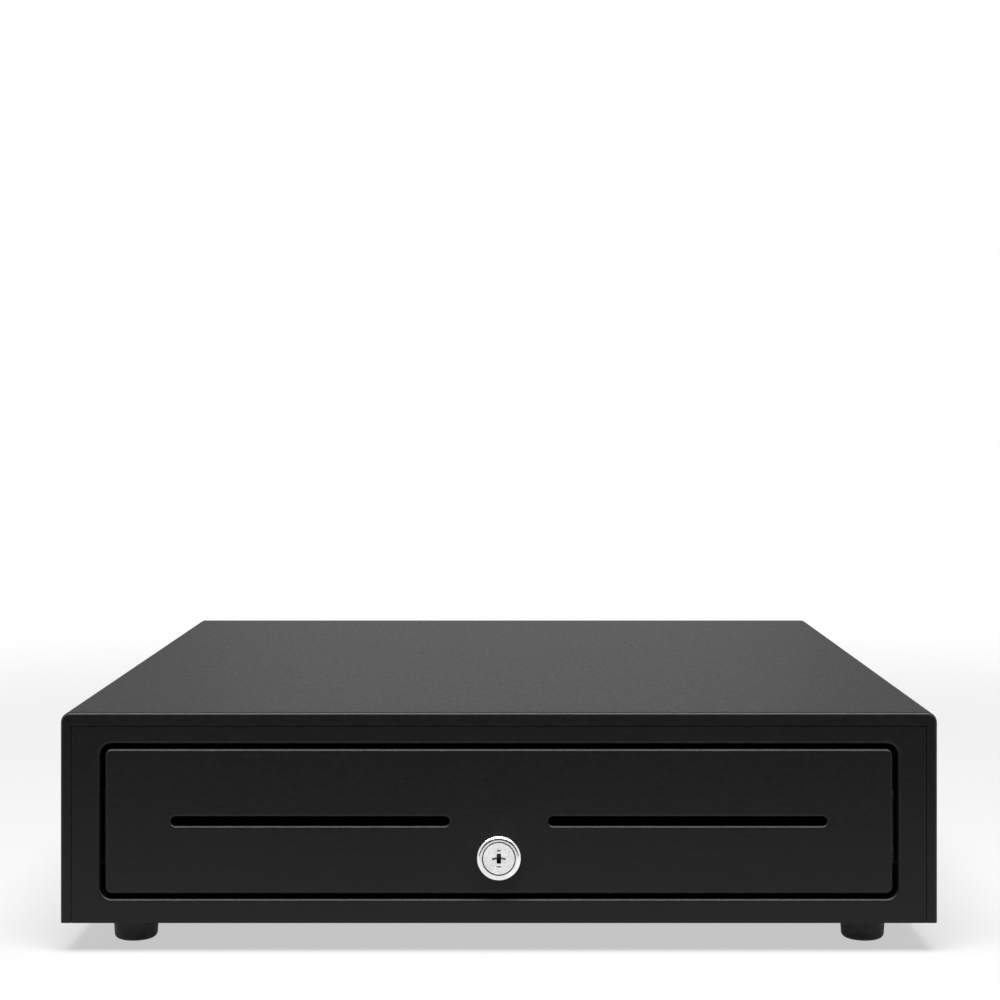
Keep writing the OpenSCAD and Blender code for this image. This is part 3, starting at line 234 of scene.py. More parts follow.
class StageSettings(bpy.types.PropertyGroup):
    """Camera, lamps and surroundings."""

    camera: spot("Camera", "Place of the camera", (0.0063, -1.148, 0.253))
    lens: number("Lens", "Focal length in millimetres on a 36 mm sensor", 72.53)
    shift_x: number("Shift X", "Sideways shift of the picture", -0.0124)
    shift_y: number("Shift Y", "Upward shift of the picture", -0.0884)
    floor: tint("Floor", "Pale floor", (0.86, 0.86, 0.86))
    ambient: number("Ambient", "Strength of the room's soft light", 0.2)
    softbox: spot("Softbox", "Place of the softbox and the strip lamp", (0, -0.62, 1.55))
    softbox_width: length("Softbox width", "Width of the softbox", 1.3)
    softbox_depth: length("Softbox depth", "Depth of the softbox", 0.8)
    softbox_power: number("Softbox power", "Power of the softbox in watts", 31.0)
    strip_width: length("Strip width", "Width of the strip lamp that draws the edges", 3.0)
    strip_depth: length("Strip depth", "Depth of the strip lamp", 0.4)
    strip_power: number("Strip power", "Power of the strip lamp in watts, in reflections alone", 75.0)
    flag: tint("Flag", "Dark cards in front of the drawer and overhead", (0.01, 0.01, 0.01))
    card: tint("Card", "Wide grey card behind the drawer", (0.414, 0.414, 0.414))
    card_middle: tint("Middle card", "Paler card in the middle of the wide one", (0.585, 0.585, 0.585))


def close_mesh():
    """Go back to object mode."""
    if bpy.context.mode != "OBJECT":
        bpy.ops.object.mode_set(mode="OBJECT")


def clear_selection():
    """Go to object mode with nothing selected."""
    close_mesh()
    bpy.ops.object.select_all(action="DESELECT")


def activate(piece):
    """In object mode, make one object the only selected and active one."""
    clear_selection()
    piece.select_set(True)
    bpy.context.view_layer.objects.active = piece


def open_mesh(piece):
    """Go to edit mode on a piece."""
    activate(piece)
    bpy.ops.object.mode_set(mode="EDIT")


def settle(name):
    """Name the active object and put its place into its mesh."""
    close_mesh()
    piece = bpy.context.active_object
    piece.name = name
    piece.data.name = name
    activate(piece)
    bpy.ops.object.transform_apply(location=True, rotation=True, scale=True)
    return piece


def pick(kind, test):
    """Select in edit mode the VERT, EDGE or FACE items that pass the test."""
    piece = bpy.context.edit_object
    bpy.ops.mesh.select_mode(type=kind)
    bpy.ops.mesh.select_all(action="DESELECT")
    shape = bmesh.from_edit_mesh(piece.data)
    shape.normal_update()
    items = {"VERT": shape.verts, "EDGE": shape.edges, "FACE": shape.faces}[kind]
    found = [item for item in items if test(item)]
    if not found:
        raise RuntimeError(f"nothing to select on {piece.name}")
    for item in found:
        item.select_set(True)
    shape.select_flush_mode()
    bmesh.update_edit_mesh(piece.data)


def same(*values):
    """True if all values are at one level."""
    return max(values) - min(values) < LEVEL


def ends(edge):
    """The two end points of an edge."""
    return edge.verts[0].co, edge.verts[1].co


def lies(edge, axis, level):
    """True for an edge with both ends at one level of the axis x, y or z."""
    return same(level, *(getattr(point, axis) for point in ends(edge)))


def runs(edge, axis):
    """True for an edge along a direction."""
    start, stop = ends(edge)
    return abs((stop - start).normalized().dot(axis)) > 0.999


def is_rim(edge):
    """True for an edge with a face on one side or none."""
    return len(edge.link_faces) < 2


def is_outer(edge, axes, low, high, border):
    """True for a rim edge along the sides of a box, inside a border, as seen across two axes."""
    return is_rim(edge) and all(
        any(
            getattr(point, axis) < getattr(low, axis) + 0.9 * border
            or getattr(point, axis) > getattr(high, axis) - 0.9 * border
            for axis in axes
        )
        for point in ends(edge)
    )


def is_fold(edge, axis):
    """True for an edge between a face square to a direction and a wall along it."""
    if len(edge.link_faces) != 2:
        return False
    turns = sorted(abs(face.normal.dot(axis)) for face in edge.link_faces)
    return turns[0] < 0.2 and turns[1] > 0.9


def round_off(radius, steps):
    """Bevel the selected edges to a round."""
    bpy.ops.mesh.bevel(offset=radius, segments=steps, profile=0.5, affect="EDGES", clamp_overlap=False)


def round_corners(radius, steps):
    """Bevel the selected points of a flat outline to round corners."""
    bpy.ops.mesh.bevel(offset=radius, segments=steps, affect="VERTICES", clamp_overlap=False)


def round_folds(axis, level, radius, steps):
    """Round the folds at one level of the axis x, y or z."""
    pick("EDGE", lambda e: is_fold(e, AXIS[axis]) and lies(e, axis, level))
    round_off(radius, steps)


def fill_level(axis, level):
    """Fill the faces between the open outlines at one level of the axis x, y or z."""
    pick("EDGE", lambda e: is_rim(e) and lies(e, axis, level))
    bpy.ops.mesh.fill(use_beauty=True)


def pull(step):
    """Extrude what is selected by a step."""
    bpy.ops.mesh.extrude_region_move(TRANSFORM_OT_translate={"value": step})


def resize(scale, centre):
    """Scale what is selected about a centre."""
    bpy.ops.transform.resize(value=scale, center_override=centre)


def flare(scale, centre):
    """Extrude what is selected in place and scale the new edge about a centre."""
    pull((0, 0, 0))
    resize(scale, centre)


def repeat(step, times):
    """Copy what is selected, each copy one step further."""
    for _ in range(times):
        bpy.ops.mesh.duplicate_move(TRANSFORM_OT_translate={"value": step})


def clean_mesh():
    """Merge doubles and turn the faces outwards."""
    bpy.ops.mesh.select_mode(type="VERT")
    bpy.ops.mesh.select_all(action="SELECT")
    bpy.ops.mesh.remove_doubles(threshold=DOUBLE)
    bpy.ops.mesh.normals_make_consistent(inside=False)


def apply_modifier(piece, kind, **values):
    """Add a modifier to a piece, set it and apply it."""
    activate(piece)
    bpy.ops.object.modifier_add(type=kind)
    modifier = piece.modifiers[-1]
    for key, value in values.items():
        setattr(modifier, key, value)
    bpy.ops.object.modifier_apply(modifier=modifier.name)


def fold_sheet(piece, thickness):
    """Clean a folded surface in edit mode and give it its sheet thickness, inwards."""
    clean_mesh()
    apply_modifier(piece, "SOLIDIFY", thickness=thickness, offset=-1.0, use_even_offset=True, use_rim=True)


def cut(piece, cutter):
    """Take the cutter out of the piece and delete it."""
    apply_modifier(piece, "BOOLEAN", operation="DIFFERENCE", solver="EXACT", object=cutter)
    bpy.data.objects.remove(cutter)


def unite(piece, other):
    """Fuse the other solid into the piece."""
    apply_modifier(piece, "BOOLEAN", operation="UNION", solver="EXACT", object=other)
    bpy.data.objects.remove(other)


def joined(name, parts):
    """Join several objects into one piece."""
    clear_selection()
    for part in parts:
        part.select_set(True)
    bpy.context.view_layer.objects.active = parts[0]
    bpy.ops.object.join()
    return settle(name)


def copied(model, name, place):
    """A copy of a model, with a mesh of its own, moved by a matrix."""
    activate(model)
    bpy.ops.object.duplicate()
    bpy.context.active_object.matrix_world = place
    return settle(name)


def dress(piece, body, slot, angle=32, pulled=None):
    """Shade a finished piece, give it its finish and let it ride on a body.

    Edges flatter than the angle in degrees are shaded smooth. pulled holds a second body and two points,
    which are
    not used: a piece given it is left in place on no body."""
    activate(piece)
    bpy.ops.object.shade_smooth_by_angle(angle=math.radians(angle))
    apply_modifier(piece, "WEIGHTED_NORMAL", weight=100, keep_sharp=True)
    piece.data.materials.clear()
    piece.data.materials.append(finish(slot))
    if pulled:
        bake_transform(piece)
    else:
        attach(piece, body)


def stand_in(piece, node, **look):
    """Dress a finished piece with the body and slot of a CAD node and put it in that node's place."""
    dress(piece, BODY_OF[node], SLOT_OF[node], **look)
    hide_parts(node)


def stand_in_copies(model, prefix, places, **look):
    """Put a copy of a model in the place of each CAD node and delete the model."""
    for node, place in places.items():
        stand_in(copied(model, prefix + node, place), node, **look)
    bpy.data.objects.remove(model)


def add_block(name, low, high):
    """A box between two corners, its place in its mesh."""
    clear_selection()
    low, high = Vector(low), Vector(high)
    bpy.ops.mesh.primitive_cube_add(size=1, location=(low + high) / 2, scale=high - low)
    return settle(name)


def add_rectangle(centre, width, height, facing="FRONT"):
    """In edit mode, add a rectangle that faces the front or upwards."""
    turn, scale = (QUARTER, 0, 0), (width, 1, height)
    if facing == "UP":
        turn, scale = (0, 0, 0), (width, height, 1)
    bpy.ops.mesh.primitive_plane_add(size=1, location=centre, rotation=turn)
    resize(scale, centre)


def add_outline(centre, width, height, corner, margin, facing="FRONT", steps=8):
    """In edit mode, add a ring around a rounded rectangle and leave the inner face selected."""
    bpy.ops.mesh.select_mode(type="VERT")
    add_rectangle(centre, width + 2 * margin, height + 2 * margin, facing)
    round_corners(corner + margin, steps)
    bpy.ops.mesh.remove_doubles(threshold=DOUBLE)
    bpy.ops.mesh.select_mode(type="FACE")
    bpy.ops.mesh.inset(thickness=margin, use_even_offset=True)


def new_outline(name, *place, **shape):
    """Start a piece from one outline ring, in edit mode."""
    clear_selection()
    bpy.ops.mesh.primitive_plane_add(size=0.01)
    piece = bpy.context.active_object
    piece.name = name
    bpy.ops.object.mode_set(mode="EDIT")
    bpy.ops.mesh.delete(type="VERT")
    add_outline(*place, **shape)
    return piece


def lathe(name, profile, centre, axis=UP, steps=72):
    """Draw a half profile of (radius, height) points and spin it about an axis through the centre."""
    clear_selection()
    centre = Vector(centre)
    bpy.ops.mesh.primitive_plane_add(size=0.001)
    bpy.ops.object.mode_set(mode="EDIT")
    bpy.ops.mesh.select_mode(type="VERT")
    bpy.ops.mesh.select_all(action="SELECT")
    bpy.ops.mesh.merge(type="CENTER")
    out = SPAN if abs(axis.x) < 0.5 else UP
    points = [centre + out * radius + axis * along for radius, along in profile]
    bpy.ops.transform.translate(value=points[0])
    for before, after in zip(points, points[1:]):
        bpy.ops.mesh.extrude_vertices_move(TRANSFORM_OT_translate={"value": tuple(after - before)})
    bpy.ops.mesh.select_all(action="SELECT")
    bpy.ops.mesh.spin(steps=steps, angle=2 * math.pi, center=centre, axis=axis)
    clean_mesh()
    return settle(name)


def arc(centre, radius, start, stop, steps):
    """Points of an arc in a profile, angles in degrees."""
    angles = [math.radians(start + (stop - start) * i / steps) for i in range(steps + 1)]
    return [(centre[0] + radius * math.cos(a), centre[1] + radius * math.sin(a)) for a in angles]


def draw_wire(name, points, radius):
    """A round wire through points, as a closed mesh."""
    clear_selection()
    bpy.ops.curve.primitive_nurbs_path_add()
    wire = bpy.context.active_object
    curve = wire.data
    curve.splines.clear()
    line = curve.splines.new("POLY")
    line.points.add(len(points) - 1)
    for point, place in zip(line.points, points):
        point.co = (*place, 1)
    curve.dimensions = "3D"
    curve.bevel_depth = radius
    curve.bevel_resolution = 3
    curve.use_fill_caps = True
    activate(wire)
    bpy.ops.object.convert(target="MESH")
    piece = settle(name)
    open_mesh(piece)
    clean_mesh()
    close_mesh()
    return piece


def smooth_path(points, steps=8):
    """Points of a smooth curve through the given points."""
    points = [Vector(p) for p in points]
    padded = [points[0] * 2 - points[1], *points, points[-1] * 2 - points[-2]]
    path = []
    for a, b, c, d in zip(padded, padded[1:], padded[2:], padded[3:]):
        for i in range(steps):
            t = i / steps
            line = 2 * b + (c - a) * t
            path.append(0.5 * (line + (2 * a - 5 * b + 4 * c - d) * t**2 + (3 * b - a - 3 * c + d) * t**3))
    return path + [points[-1]]


def solids(node):
    """The separate solids of a CAD node, each as a list of its points."""
    mesh = frame["nodes"][node].data
    key = [tuple(round(x, 6) for x in v.co) for v in mesh.vertices]
    owner = {k: k for k in key}

    def root(k):
        while owner[k] != k:
            owner[k] = owner[owner[k]]
            k = owner[k]
        return k

    for polygon in mesh.polygons:
        first, *others = (root(key[i]) for i in polygon.vertices)
        for other in others:
            owner[root(other)] = root(first)
    groups = {}
    for k in owner:
        groups.setdefault(root(k), []).append(Vector(k))
    return [groups[k] for k in sorted(groups)]


# Finishes


def new_material(name):
    """An empty material with nodes."""
    material = bpy.data.materials.new(name)
    material.use_nodes = True
    return material


def feed(tree, node, inputs):
    """Give a node its inputs: a socket is linked, any other value is set as a constant."""
    for key, value in inputs.items():
        if isinstance(value, bpy.types.NodeSocket):
            tree.links.new(value, node.inputs[key])
        else:
            node.inputs[key].default_value = value
    return node


def new_node(tree, kind, inputs, operation=None):
    """Add a shader node to a tree and give it its inputs."""
    node = tree.nodes.new("ShaderNode" + kind)
    if operation:
        node.operation = operation
    return feed(tree, node, inputs)


class Recipe:
    """A material in the making: its nodes, its shader and short ways to add to them."""

    # A noise pattern's values lie mostly between these two
    LOW, HIGH = 0.3, 0.7

    def __init__(self, name, colour, roughness, metallic=0.0, specular=0.5):
        self.tree = new_material(name).node_tree
        self.base = tuple(colour)
        self.shader = self.tree.nodes["Principled BSDF"]
        self.set("Base Color", (*colour, 1))
        self.set("Roughness", roughness)
        self.set("Metallic", metallic)
        self.set("Specular IOR Level", specular)
        self.place = new_node(self.tree, "TexCoord", {}).outputs["Object"]

    def set(self, key, value):
        """Give the shader one input."""
        feed(self.tree, self.shader, {key: value})

    def noise(self, scale, detail=2.0, rough=0.5):
        """A noise pattern, as a value around one half."""
        inputs = {"Vector": self.place, "Scale": scale, "Detail": detail, "Roughness": rough}
        return new_node(self.tree, "TexNoise", inputs).outputs["Fac"]

    def cells(self, scale):
        """A pattern of crystal-like cells, one value each."""
        return new_node(self.tree, "TexVoronoi", {"Vector": self.place, "Scale": scale}).outputs["Color"]

    def bands(self, scale):
        """Straight bands, one beside the other across the width."""
        return new_node(self.tree, "TexWave", {"Vector": self.place, "Scale": scale}).outputs["Fac"]

    def mottle(self, pattern, dark, light, start=LOW, stop=HIGH):
        """Vary the base colour with a pattern, between a darker and a lighter shade of it."""
        node = new_node(self.tree, "ValToRGB", {"Fac": pattern})
        for element, place, factor in zip(node.color_ramp.elements, (start, stop), (dark, light)):
            element.position = place
            element.color = (*(min(1.0, c * factor) for c in self.base), 1)
        self.set("Base Color", node.outputs["Color"])

    def roughness(self, pattern, low, high):
        """Vary the roughness with a pattern."""
        spread = {"From Min": self.LOW, "From Max": self.HIGH, "To Min": low, "To Max": high}
        self.set("Roughness", new_node(self.tree, "MapRange", {"Value": pattern, **spread}).outputs["Result"])

    def bump(self, pattern, strength, distance, before=None):
        """Add relief from a pattern, on top of an earlier relief."""
        inputs = {"Height": pattern, "Strength": strength, "Distance": distance}
        if before:
            inputs["Normal"] = before
        relief = new_node(self.tree, "Bump", inputs).outputs["Normal"]
        self.set("Normal", relief)
        return relief


def powder_coat(name, colours):
    """Baked powder paint: fine sand grain over a slight orange peel."""
    coat = Recipe(name, colours.powder_coat, 0.41, specular=0.27)
    coat.mottle(coat.noise(9, 3), 0.86, 1.14)
    coat.roughness(coat.noise(420), 0.37, 0.45)
    peel = coat.bump(coat.noise(520, 2, 0.45), 0.3, 0.0003)
    coat.bump(coat.noise(1900, 2, 0.6), 0.5, 0.00015, peel)


def black_rubber(name, colours):
    """Moulded rubber with a dull bloom."""
    rubber = Recipe(name, colours.rubber, 0.7, specular=0.35)
    rubber.mottle(rubber.noise(180, 4), 0.8, 1.5)
    rubber.roughness(rubber.noise(260, 3), 0.62, 0.8)
    rubber.bump(rubber.noise(1500), 0.25, 0.0001)


def zinc_steel(name, colours):
    """Zinc plating with a faint spangle."""
    zinc = Recipe(name, colours.zinc, 0.36, metallic=1.0)
    zinc.mottle(zinc.cells(420), 0.95, 1.04, 0.1, 0.9)
    zinc.roughness(zinc.noise(240, 3), 0.31, 0.39)
    zinc.bump(zinc.noise(900, 3), 0.08, 0.0001)


def fastener_steel(name, colours):
    """Plated screws and rivets."""
    steel = Recipe(name, colours.fastener, 0.3, metallic=1.0)
    steel.mottle(steel.noise(700, 3), 0.82, 1.12)
    steel.roughness(steel.noise(900, 3), 0.22, 0.36)


def black_screw(name, colours):
    """Blackened screws with a little steel showing through."""
    oxide = Recipe(name, colours.black_oxide, 0.36, metallic=0.75)
    oxide.mottle(oxide.noise(900, 4), 0.7, 1.9, 0.35, 0.75)
    oxide.roughness(oxide.noise(700, 3), 0.3, 0.46)


def bright_steel(name, colours):
    """Drawn wire, rod and balls."""
    steel = Recipe(name, colours.spring, 0.2, metallic=1.0)
    steel.mottle(steel.noise(500, 3), 0.85, 1.1)
    steel.roughness(steel.noise(1200, 3), 0.14, 0.26)


def lock_chrome(name, colours):
    """Nickel-chrome plating with fine handling marks."""
    chrome = Recipe(name, colours.chrome, 0.17, metallic=1.0)
    chrome.mottle(chrome.noise(260, 4), 0.9, 1.06)
    chrome.roughness(chrome.noise(1400, 4), 0.12, 0.25)
    chrome.bump(chrome.noise(900, 3), 0.05, 0.0001)


def tray_plastic(name, colours):
    """Moulded tray with a fine spark-eroded texture."""
    tray = Recipe(name, colours.tray, 0.5, specular=0.4)
    tray.mottle(tray.noise(40, 3), 0.85, 1.2)
    tray.roughness(tray.noise(500, 3), 0.42, 0.56)
    tray.bump(tray.noise(2300, 2, 0.6), 0.2, 0.0001)


def clip_plastic(name, colours):
    """Smooth moulded plastic of the clips."""
    clip = Recipe(name, colours.clip, 0.3)
    clip.mottle(clip.noise(60), 0.9, 1.15)
    clip.roughness(clip.noise(90), 0.3, 0.36)
    clip.bump(clip.noise(900), 0.03, 0.00005)


def switch_plastic(name, colours):
    """Glass-filled plastic of the switch and the socket."""
    plastic = Recipe(name, colours.switch, 0.48, specular=0.45)
    plastic.mottle(plastic.noise(300, 3), 0.8, 1.3)
    plastic.roughness(plastic.noise(800, 3), 0.4, 0.56)
    plastic.bump(plastic.noise(1800), 0.12, 0.0001)


def coil_tape(name, colours):
    """Tape wound around the coil, lap beside lap."""
    tape = Recipe(name, colours.tape, 0.4)
    tape.mottle(tape.noise(260, 3), 0.75, 1.2)
    tape.roughness(tape.noise(400), 0.32, 0.5)
    tape.bump(tape.bands(90), 0.5, 0.0003)


def wire_sleeve(name, colours):
    """Soft insulation of the wires."""
    sleeve = Recipe(name, colours.sleeve, 0.5, specular=0.4)
    sleeve.mottle(sleeve.noise(200, 3), 0.8, 1.2)
    sleeve.roughness(sleeve.noise(500), 0.42, 0.58)


def nylon(name, colours):
    """Natural nylon that lets a little light through."""
    white = Recipe(name, colours.nylon, 0.42)
    white.mottle(white.noise(300, 3), 0.93, 1.04)
    white.roughness(white.noise(600), 0.36, 0.5)
    white.set("Subsurface Weight", 0.15)
    white.set("Subsurface Radius", (0.001, 0.001, 0.0008))


FINISHES = {
    recipe.__name__: recipe
    for recipe in (
        powder_coat, black_rubber, zinc_steel, fastener_steel, black_screw, bright_steel, lock_chrome,
        tray_plastic, clip_plastic, switch_plastic, coil_tape, wire_sleeve, nylon,
    )
}


def finish(slot):
    """The material of a slot, made on first use."""
    name = f"finish_{slot}"
    if name not in bpy.data.materials:
        FINISHES[slot](name, bpy.context.scene.drawer_finishes)
    return bpy.data.materials[name]


# Stage


class DRAWER_OT_stage(bpy.types.Operator):
    """Set up the camera, the pale floor, the room, the lamps and the cards that the paint mirrors"""

    bl_idname = "drawer.stage"
    bl_label = "Stage"

    SENSOR = 36
    FLOOR_RADIUS = 40
    # The floor's white grows from the first share to one, between these distances from the drawer
    FLOOR_WHITE = {"To Min": 0.55, "From Min": 0.3, "From Max": 1.3}
    # Cards outside the picture: name, middle, turn about X, size along X, Y and Z, setting with the tone
    CARDS = (
        ("flag_front", (0, -2.4, 1.52), -QUARTER, (6, 1, 3), "flag"),
        ("flag_low", (0, -1.44, 0.002), 0, (4, 1.9, 1), "flag"),
        ("card_rear", (0, 3, 1.52), QUARTER, (9, 1, 3), "card"),
        ("card_middle", (0, 2.98, 1.52), QUARTER, (1.2, 1, 3), "card_middle"),
        ("flag_top", (0, 1.45, 3.02), math.pi, (9, 3.1, 1), "flag"),
    )
    # The card that also keeps light from the drawer; the others are in its reflections alone
    SHADING_CARD = "flag_front"

    def execute(self, context):
        scene, stage = context.scene, context.scene.drawer_stage
        scene.view_settings.view_transform = "Standard"
        self.camera(scene, stage)
        self.floor(stage)
        self.room(scene, stage)
        self.lamp("softbox", stage, stage.softbox_width, stage.softbox_depth, stage.softbox_power)
        strip = self.lamp("strip", stage, stage.strip_width, stage.strip_depth, stage.strip_power)
        strip.visible_diffuse = False
        for name, middle, turn, size, tone in self.CARDS:
            card = self.card(name, middle, turn, size, getattr(stage, tone))
            if name != self.SHADING_CARD:
                card.visible_diffuse = False
                card.visible_shadow = False
        return {"FINISHED"}

    def camera(self, scene, stage):
        """A level camera in front of the drawer, with its picture shifted down to it."""
        clear_selection()
        bpy.ops.object.camera_add(location=stage.camera, rotation=(QUARTER, 0, 0))
        scene.camera = bpy.context.active_object
        scene.camera.name = "camera"
        lens = scene.camera.data
        lens.lens = stage.lens
        lens.sensor_width = self.SENSOR
        lens.shift_x = stage.shift_x
        lens.shift_y = stage.shift_y
        lens.clip_start = 0.01
        lens.clip_end = 200

    def lamp(self, name, stage, width, depth, power):
        """A soft lamp above the front, turned to the drawer."""
        tilt = math.atan2(-stage.softbox[1], stage.softbox[2])
        bpy.ops.object.light_add(type="AREA", location=stage.softbox, rotation=(tilt, 0, 0))
        lamp = bpy.context.active_object
        lamp.name = name
        lamp.data.shape = "RECTANGLE"
        lamp.data.size = width
        lamp.data.size_y = depth
        lamp.data.energy = power
        return lamp

    def card(self, name, middle, turn, size, colour):
        """A plain card outside the picture, for the paint to mirror in place of the white room."""
        clear_selection()
        bpy.ops.mesh.primitive_plane_add(size=1, location=middle, rotation=(turn, 0, 0))
        bpy.ops.transform.resize(value=size)
        card = settle(name)
        card.visible_camera = False
        grey = new_material("stage_" + name)
        tree = grey.node_tree
        tone = new_node(tree, "Emission", {"Color": (*colour, 1)})
        feed(tree, tree.nodes["Material Output"], {"Surface": tone.outputs["Emission"]})
        card.data.materials.append(grey)
        return card

    def floor(self, stage):
        """A pale floor that turns to plain white far from the drawer."""
        clear_selection()
        bpy.ops.mesh.primitive_circle_add(vertices=96, radius=self.FLOOR_RADIUS, fill_type="NGON")
        floor = settle("floor")
        paper = new_material("stage_floor")
        tree = paper.node_tree
        surface = {"Base Color": (*stage.floor, 1), "Roughness": 0.9, "Specular IOR Level": 0.1}
        shader = feed(tree, tree.nodes["Principled BSDF"], surface)
        white = new_node(tree, "Emission", {"Strength": 1.0})
        place = new_node(tree, "TexCoord", {}).outputs["Object"]
        reach = new_node(tree, "VectorMath", {0: place}, "LENGTH")
        far = new_node(tree, "MapRange", {"Value": reach.outputs["Value"], **self.FLOOR_WHITE})
        far.interpolation_type = "SMOOTHSTEP"
        gate = new_node(tree, "Math", {0: far.outputs["Result"], 1: seen_rays(tree)}, "MULTIPLY")
        share = gate.outputs["Value"]
        mix_shaders(tree, share, shader.outputs["BSDF"], white.outputs["Emission"], "Material Output")
        floor.data.materials.append(paper)

    def room(self, scene, stage):
        """White to the camera and in reflections, a soft dim light otherwise."""
        scene.world = bpy.data.worlds.new("room")
        scene.world.use_nodes = True
        tree = scene.world.node_tree
        white = {"Color": (1, 1, 1, 1)}
        soft = feed(tree, tree.nodes["Background"], {**white, "Strength": stage.ambient})
        bright = new_node(tree, "Background", white)
        lights = soft.outputs["Background"], bright.outputs["Background"]
        mix_shaders(tree, seen_rays(tree), *lights, "World Output")


def mix_shaders(tree, share, first, second, output):
    """Lead a mix of two shaders, with the share of the second, to an output node."""
    mix = new_node(tree, "MixShader", {"Fac": share, 1: first, 2: second})
    feed(tree, tree.nodes[output], {"Surface": mix.outputs["Shader"]})


def seen_rays(tree):
    """One for rays of the camera, of reflections and through glass, else nought."""
    path = new_node(tree, "LightPath", {})
    total = path.outputs["Is Camera Ray"]
    for name in ("Is Glossy Ray", "Is Transmission Ray"):
        total = new_node(tree, "Math", {0: total, 1: path.outputs[name]}, "MAXIMUM").outputs["Value"]
    return total


# Pieces


class DRAWER_OT_carried(bpy.types.Operator):
    """Give every CAD piece its finish and break the edges of sheet and moulded pieces that are kept"""

    bl_idname = "drawer.carried"
    bl_label = "Finishes of the CAD pieces"

    BROKEN = (
        "base_plate", "rear_panel", "slide_bracket_left", "slide_bracket_right", "slide_outer_left",
        "slide_outer_right", "slide_inner_left", "slide_inner_right", "latch_base", "latch_pivot",
        "latch_hook", "solenoid_yoke", "solenoid_plunger", "switch_body", "switch_lever", "cord_socket",
        "eject_guides", "drawer_box", "striker", "lock_nut", "rod_bush", "ball_cage_left", "ball_cage_right",
        "clip_rod",
    )
    # Faces that turn less than the first angle are one face, edges that turn more than the second are broken
    FLAT, SHARP = math.radians(1), math.radians(40)

    def execute(self, context):
        for node, piece in frame["nodes"].items():
            piece.data.materials.clear()
            piece.data.materials.append(finish(SLOT_OF[node]))
            if node in self.BROKEN:
                self.break_edges(piece, context.scene.drawer_hardware.broken_edge)
        return {"FINISHED"}

    def break_edges(self, piece, width):
        """Take the sharpness off a stamped or moulded piece's edges, with modifiers alone."""
        weld = piece.modifiers.new("weld", "WELD")
        weld.merge_threshold = DOUBLE
        flat = piece.modifiers.new("flat", "DECIMATE")
        flat.decimate_type = "DISSOLVE"
        flat.angle_limit = self.FLAT
        edge = piece.modifiers.new("edge", "BEVEL")
        edge.width = width
        edge.segments = 2
        edge.limit_method = "ANGLE"
        edge.angle_limit = self.SHARP


class DRAWER_OT_cover(bpy.types.Operator):
    """Fold the wrapped cover from one sheet"""

    bl_idname = "drawer.cover"
    bl_label = "Wrapped cover"

    def execute(self, context):
        size = context.scene.drawer_casing
        low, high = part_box("top_cover")
        cover = add_block("cover_shell", low, high)
        open_mesh(cover)
        pick("FACE", lambda f: f.normal.z < -0.9 or f.normal.y > 0.9)
        bpy.ops.mesh.delete(type="FACE")
        pick("EDGE", lambda e: runs(e, DEPTH) and lies(e, "z", high.z))
        round_off(size.top_bend, 12)
        round_folds("y", low.y, size.front_bend, 6)
        self.returns(size, high)
        self.bottom_lips(size, low, high)
        self.rear_lips(size, low, high)
        fold_sheet(cover, size.sheet)
        drill(cover, "cover_screws", size.screw_hole)
        stand_in(cover, "top_cover")
        return {"FINISHED"}

    def returns(self, size, high):
        """Cut the front face down to the returns at the sides and the top."""
        side, top = high.x - size.side_return, high.z - size.top_return

        def in_front(face):
            return face.normal.y < -0.99

        def in_opening(face):
            middle = face.calc_center_median()
            return in_front(face) and abs(middle.x) < side and middle.z < top

        for place, normal in (((side, 0, 0), SPAN), ((-side, 0, 0), SPAN), ((0, 0, top), UP)):
            pick("FACE", in_front)
            bpy.ops.mesh.bisect(plane_co=place, plane_no=normal)
        pick("FACE", in_opening)
        bpy.ops.mesh.delete(type="FACE")

    def bottom_lips(self, size, low, high):
        """Fold the lips under the base."""
        for side in (-1, 1):
            pick("EDGE", lambda e: runs(e, DEPTH) and lies(e, "z", low.z) and lies(e, "x", side * high.x))
            pull((-side * size.bottom_lip, 0, 0))
        round_folds("z", low.z, size.under_bend, 5)

    def rear_lips(self, size, low, high):
        """Add the lips behind the rear panel, at the sides and the top."""
        width = high.x - low.x - size.sheet
        floor, top = low.z + size.sheet, high.z - size.sheet / 2
        back, lip = high.y - 2 * size.sheet, size.rear_lip
        add_outline((0, back, (floor + top) / 2), width - 2 * lip, top - floor - 2 * lip, size.sheet, lip)
        bpy.ops.mesh.delete(type="FACE")

        def at_bottom(face):
            middle = face.calc_center_median()
            return same(back, middle.y) and middle.z < floor + lip

        pick("FACE", at_bottom)
        bpy.ops.mesh.delete(type="FACE")


def screw_line(points, head):
    """Middle, half length and head direction of a screw, from its points."""
    low = Vector(min(p[i] for p in points) for i in range(3))
    high = Vector(max(p[i] for p in points) for i in range(3))
    middle, spread = (low + high) / 2, high - low
    index = max(range(3), key=lambda i: abs(spread[i] - head))
    axis = Vector((0, 0, 0))
    axis[index] = 1
    wide = [p for p in points if ((p - middle) - axis * (p - middle).dot(axis)).length > 0.45 * head]
    if sum((p - middle).dot(axis) for p in wide) < 0:
        axis = -axis
    return middle, spread[index] / 2, axis


def drill(piece, node, diameter):
    """Cut the holes for the screws of a node."""
    head = bpy.context.scene.drawer_hardware.head
    tools = []
    for points in solids(node):
        middle, half, axis = screw_line(points, head)
        turn = (0, 0, 0) if abs(axis.z) > 0.5 else (QUARTER, 0, 0)
        clear_selection()
        bpy.ops.mesh.primitive_cylinder_add(
            vertices=24, radius=diameter / 2, depth=2 * half, location=middle, rotation=turn
        )
        tools.append(settle("drill"))
    cut(piece, joined("drill", tools))


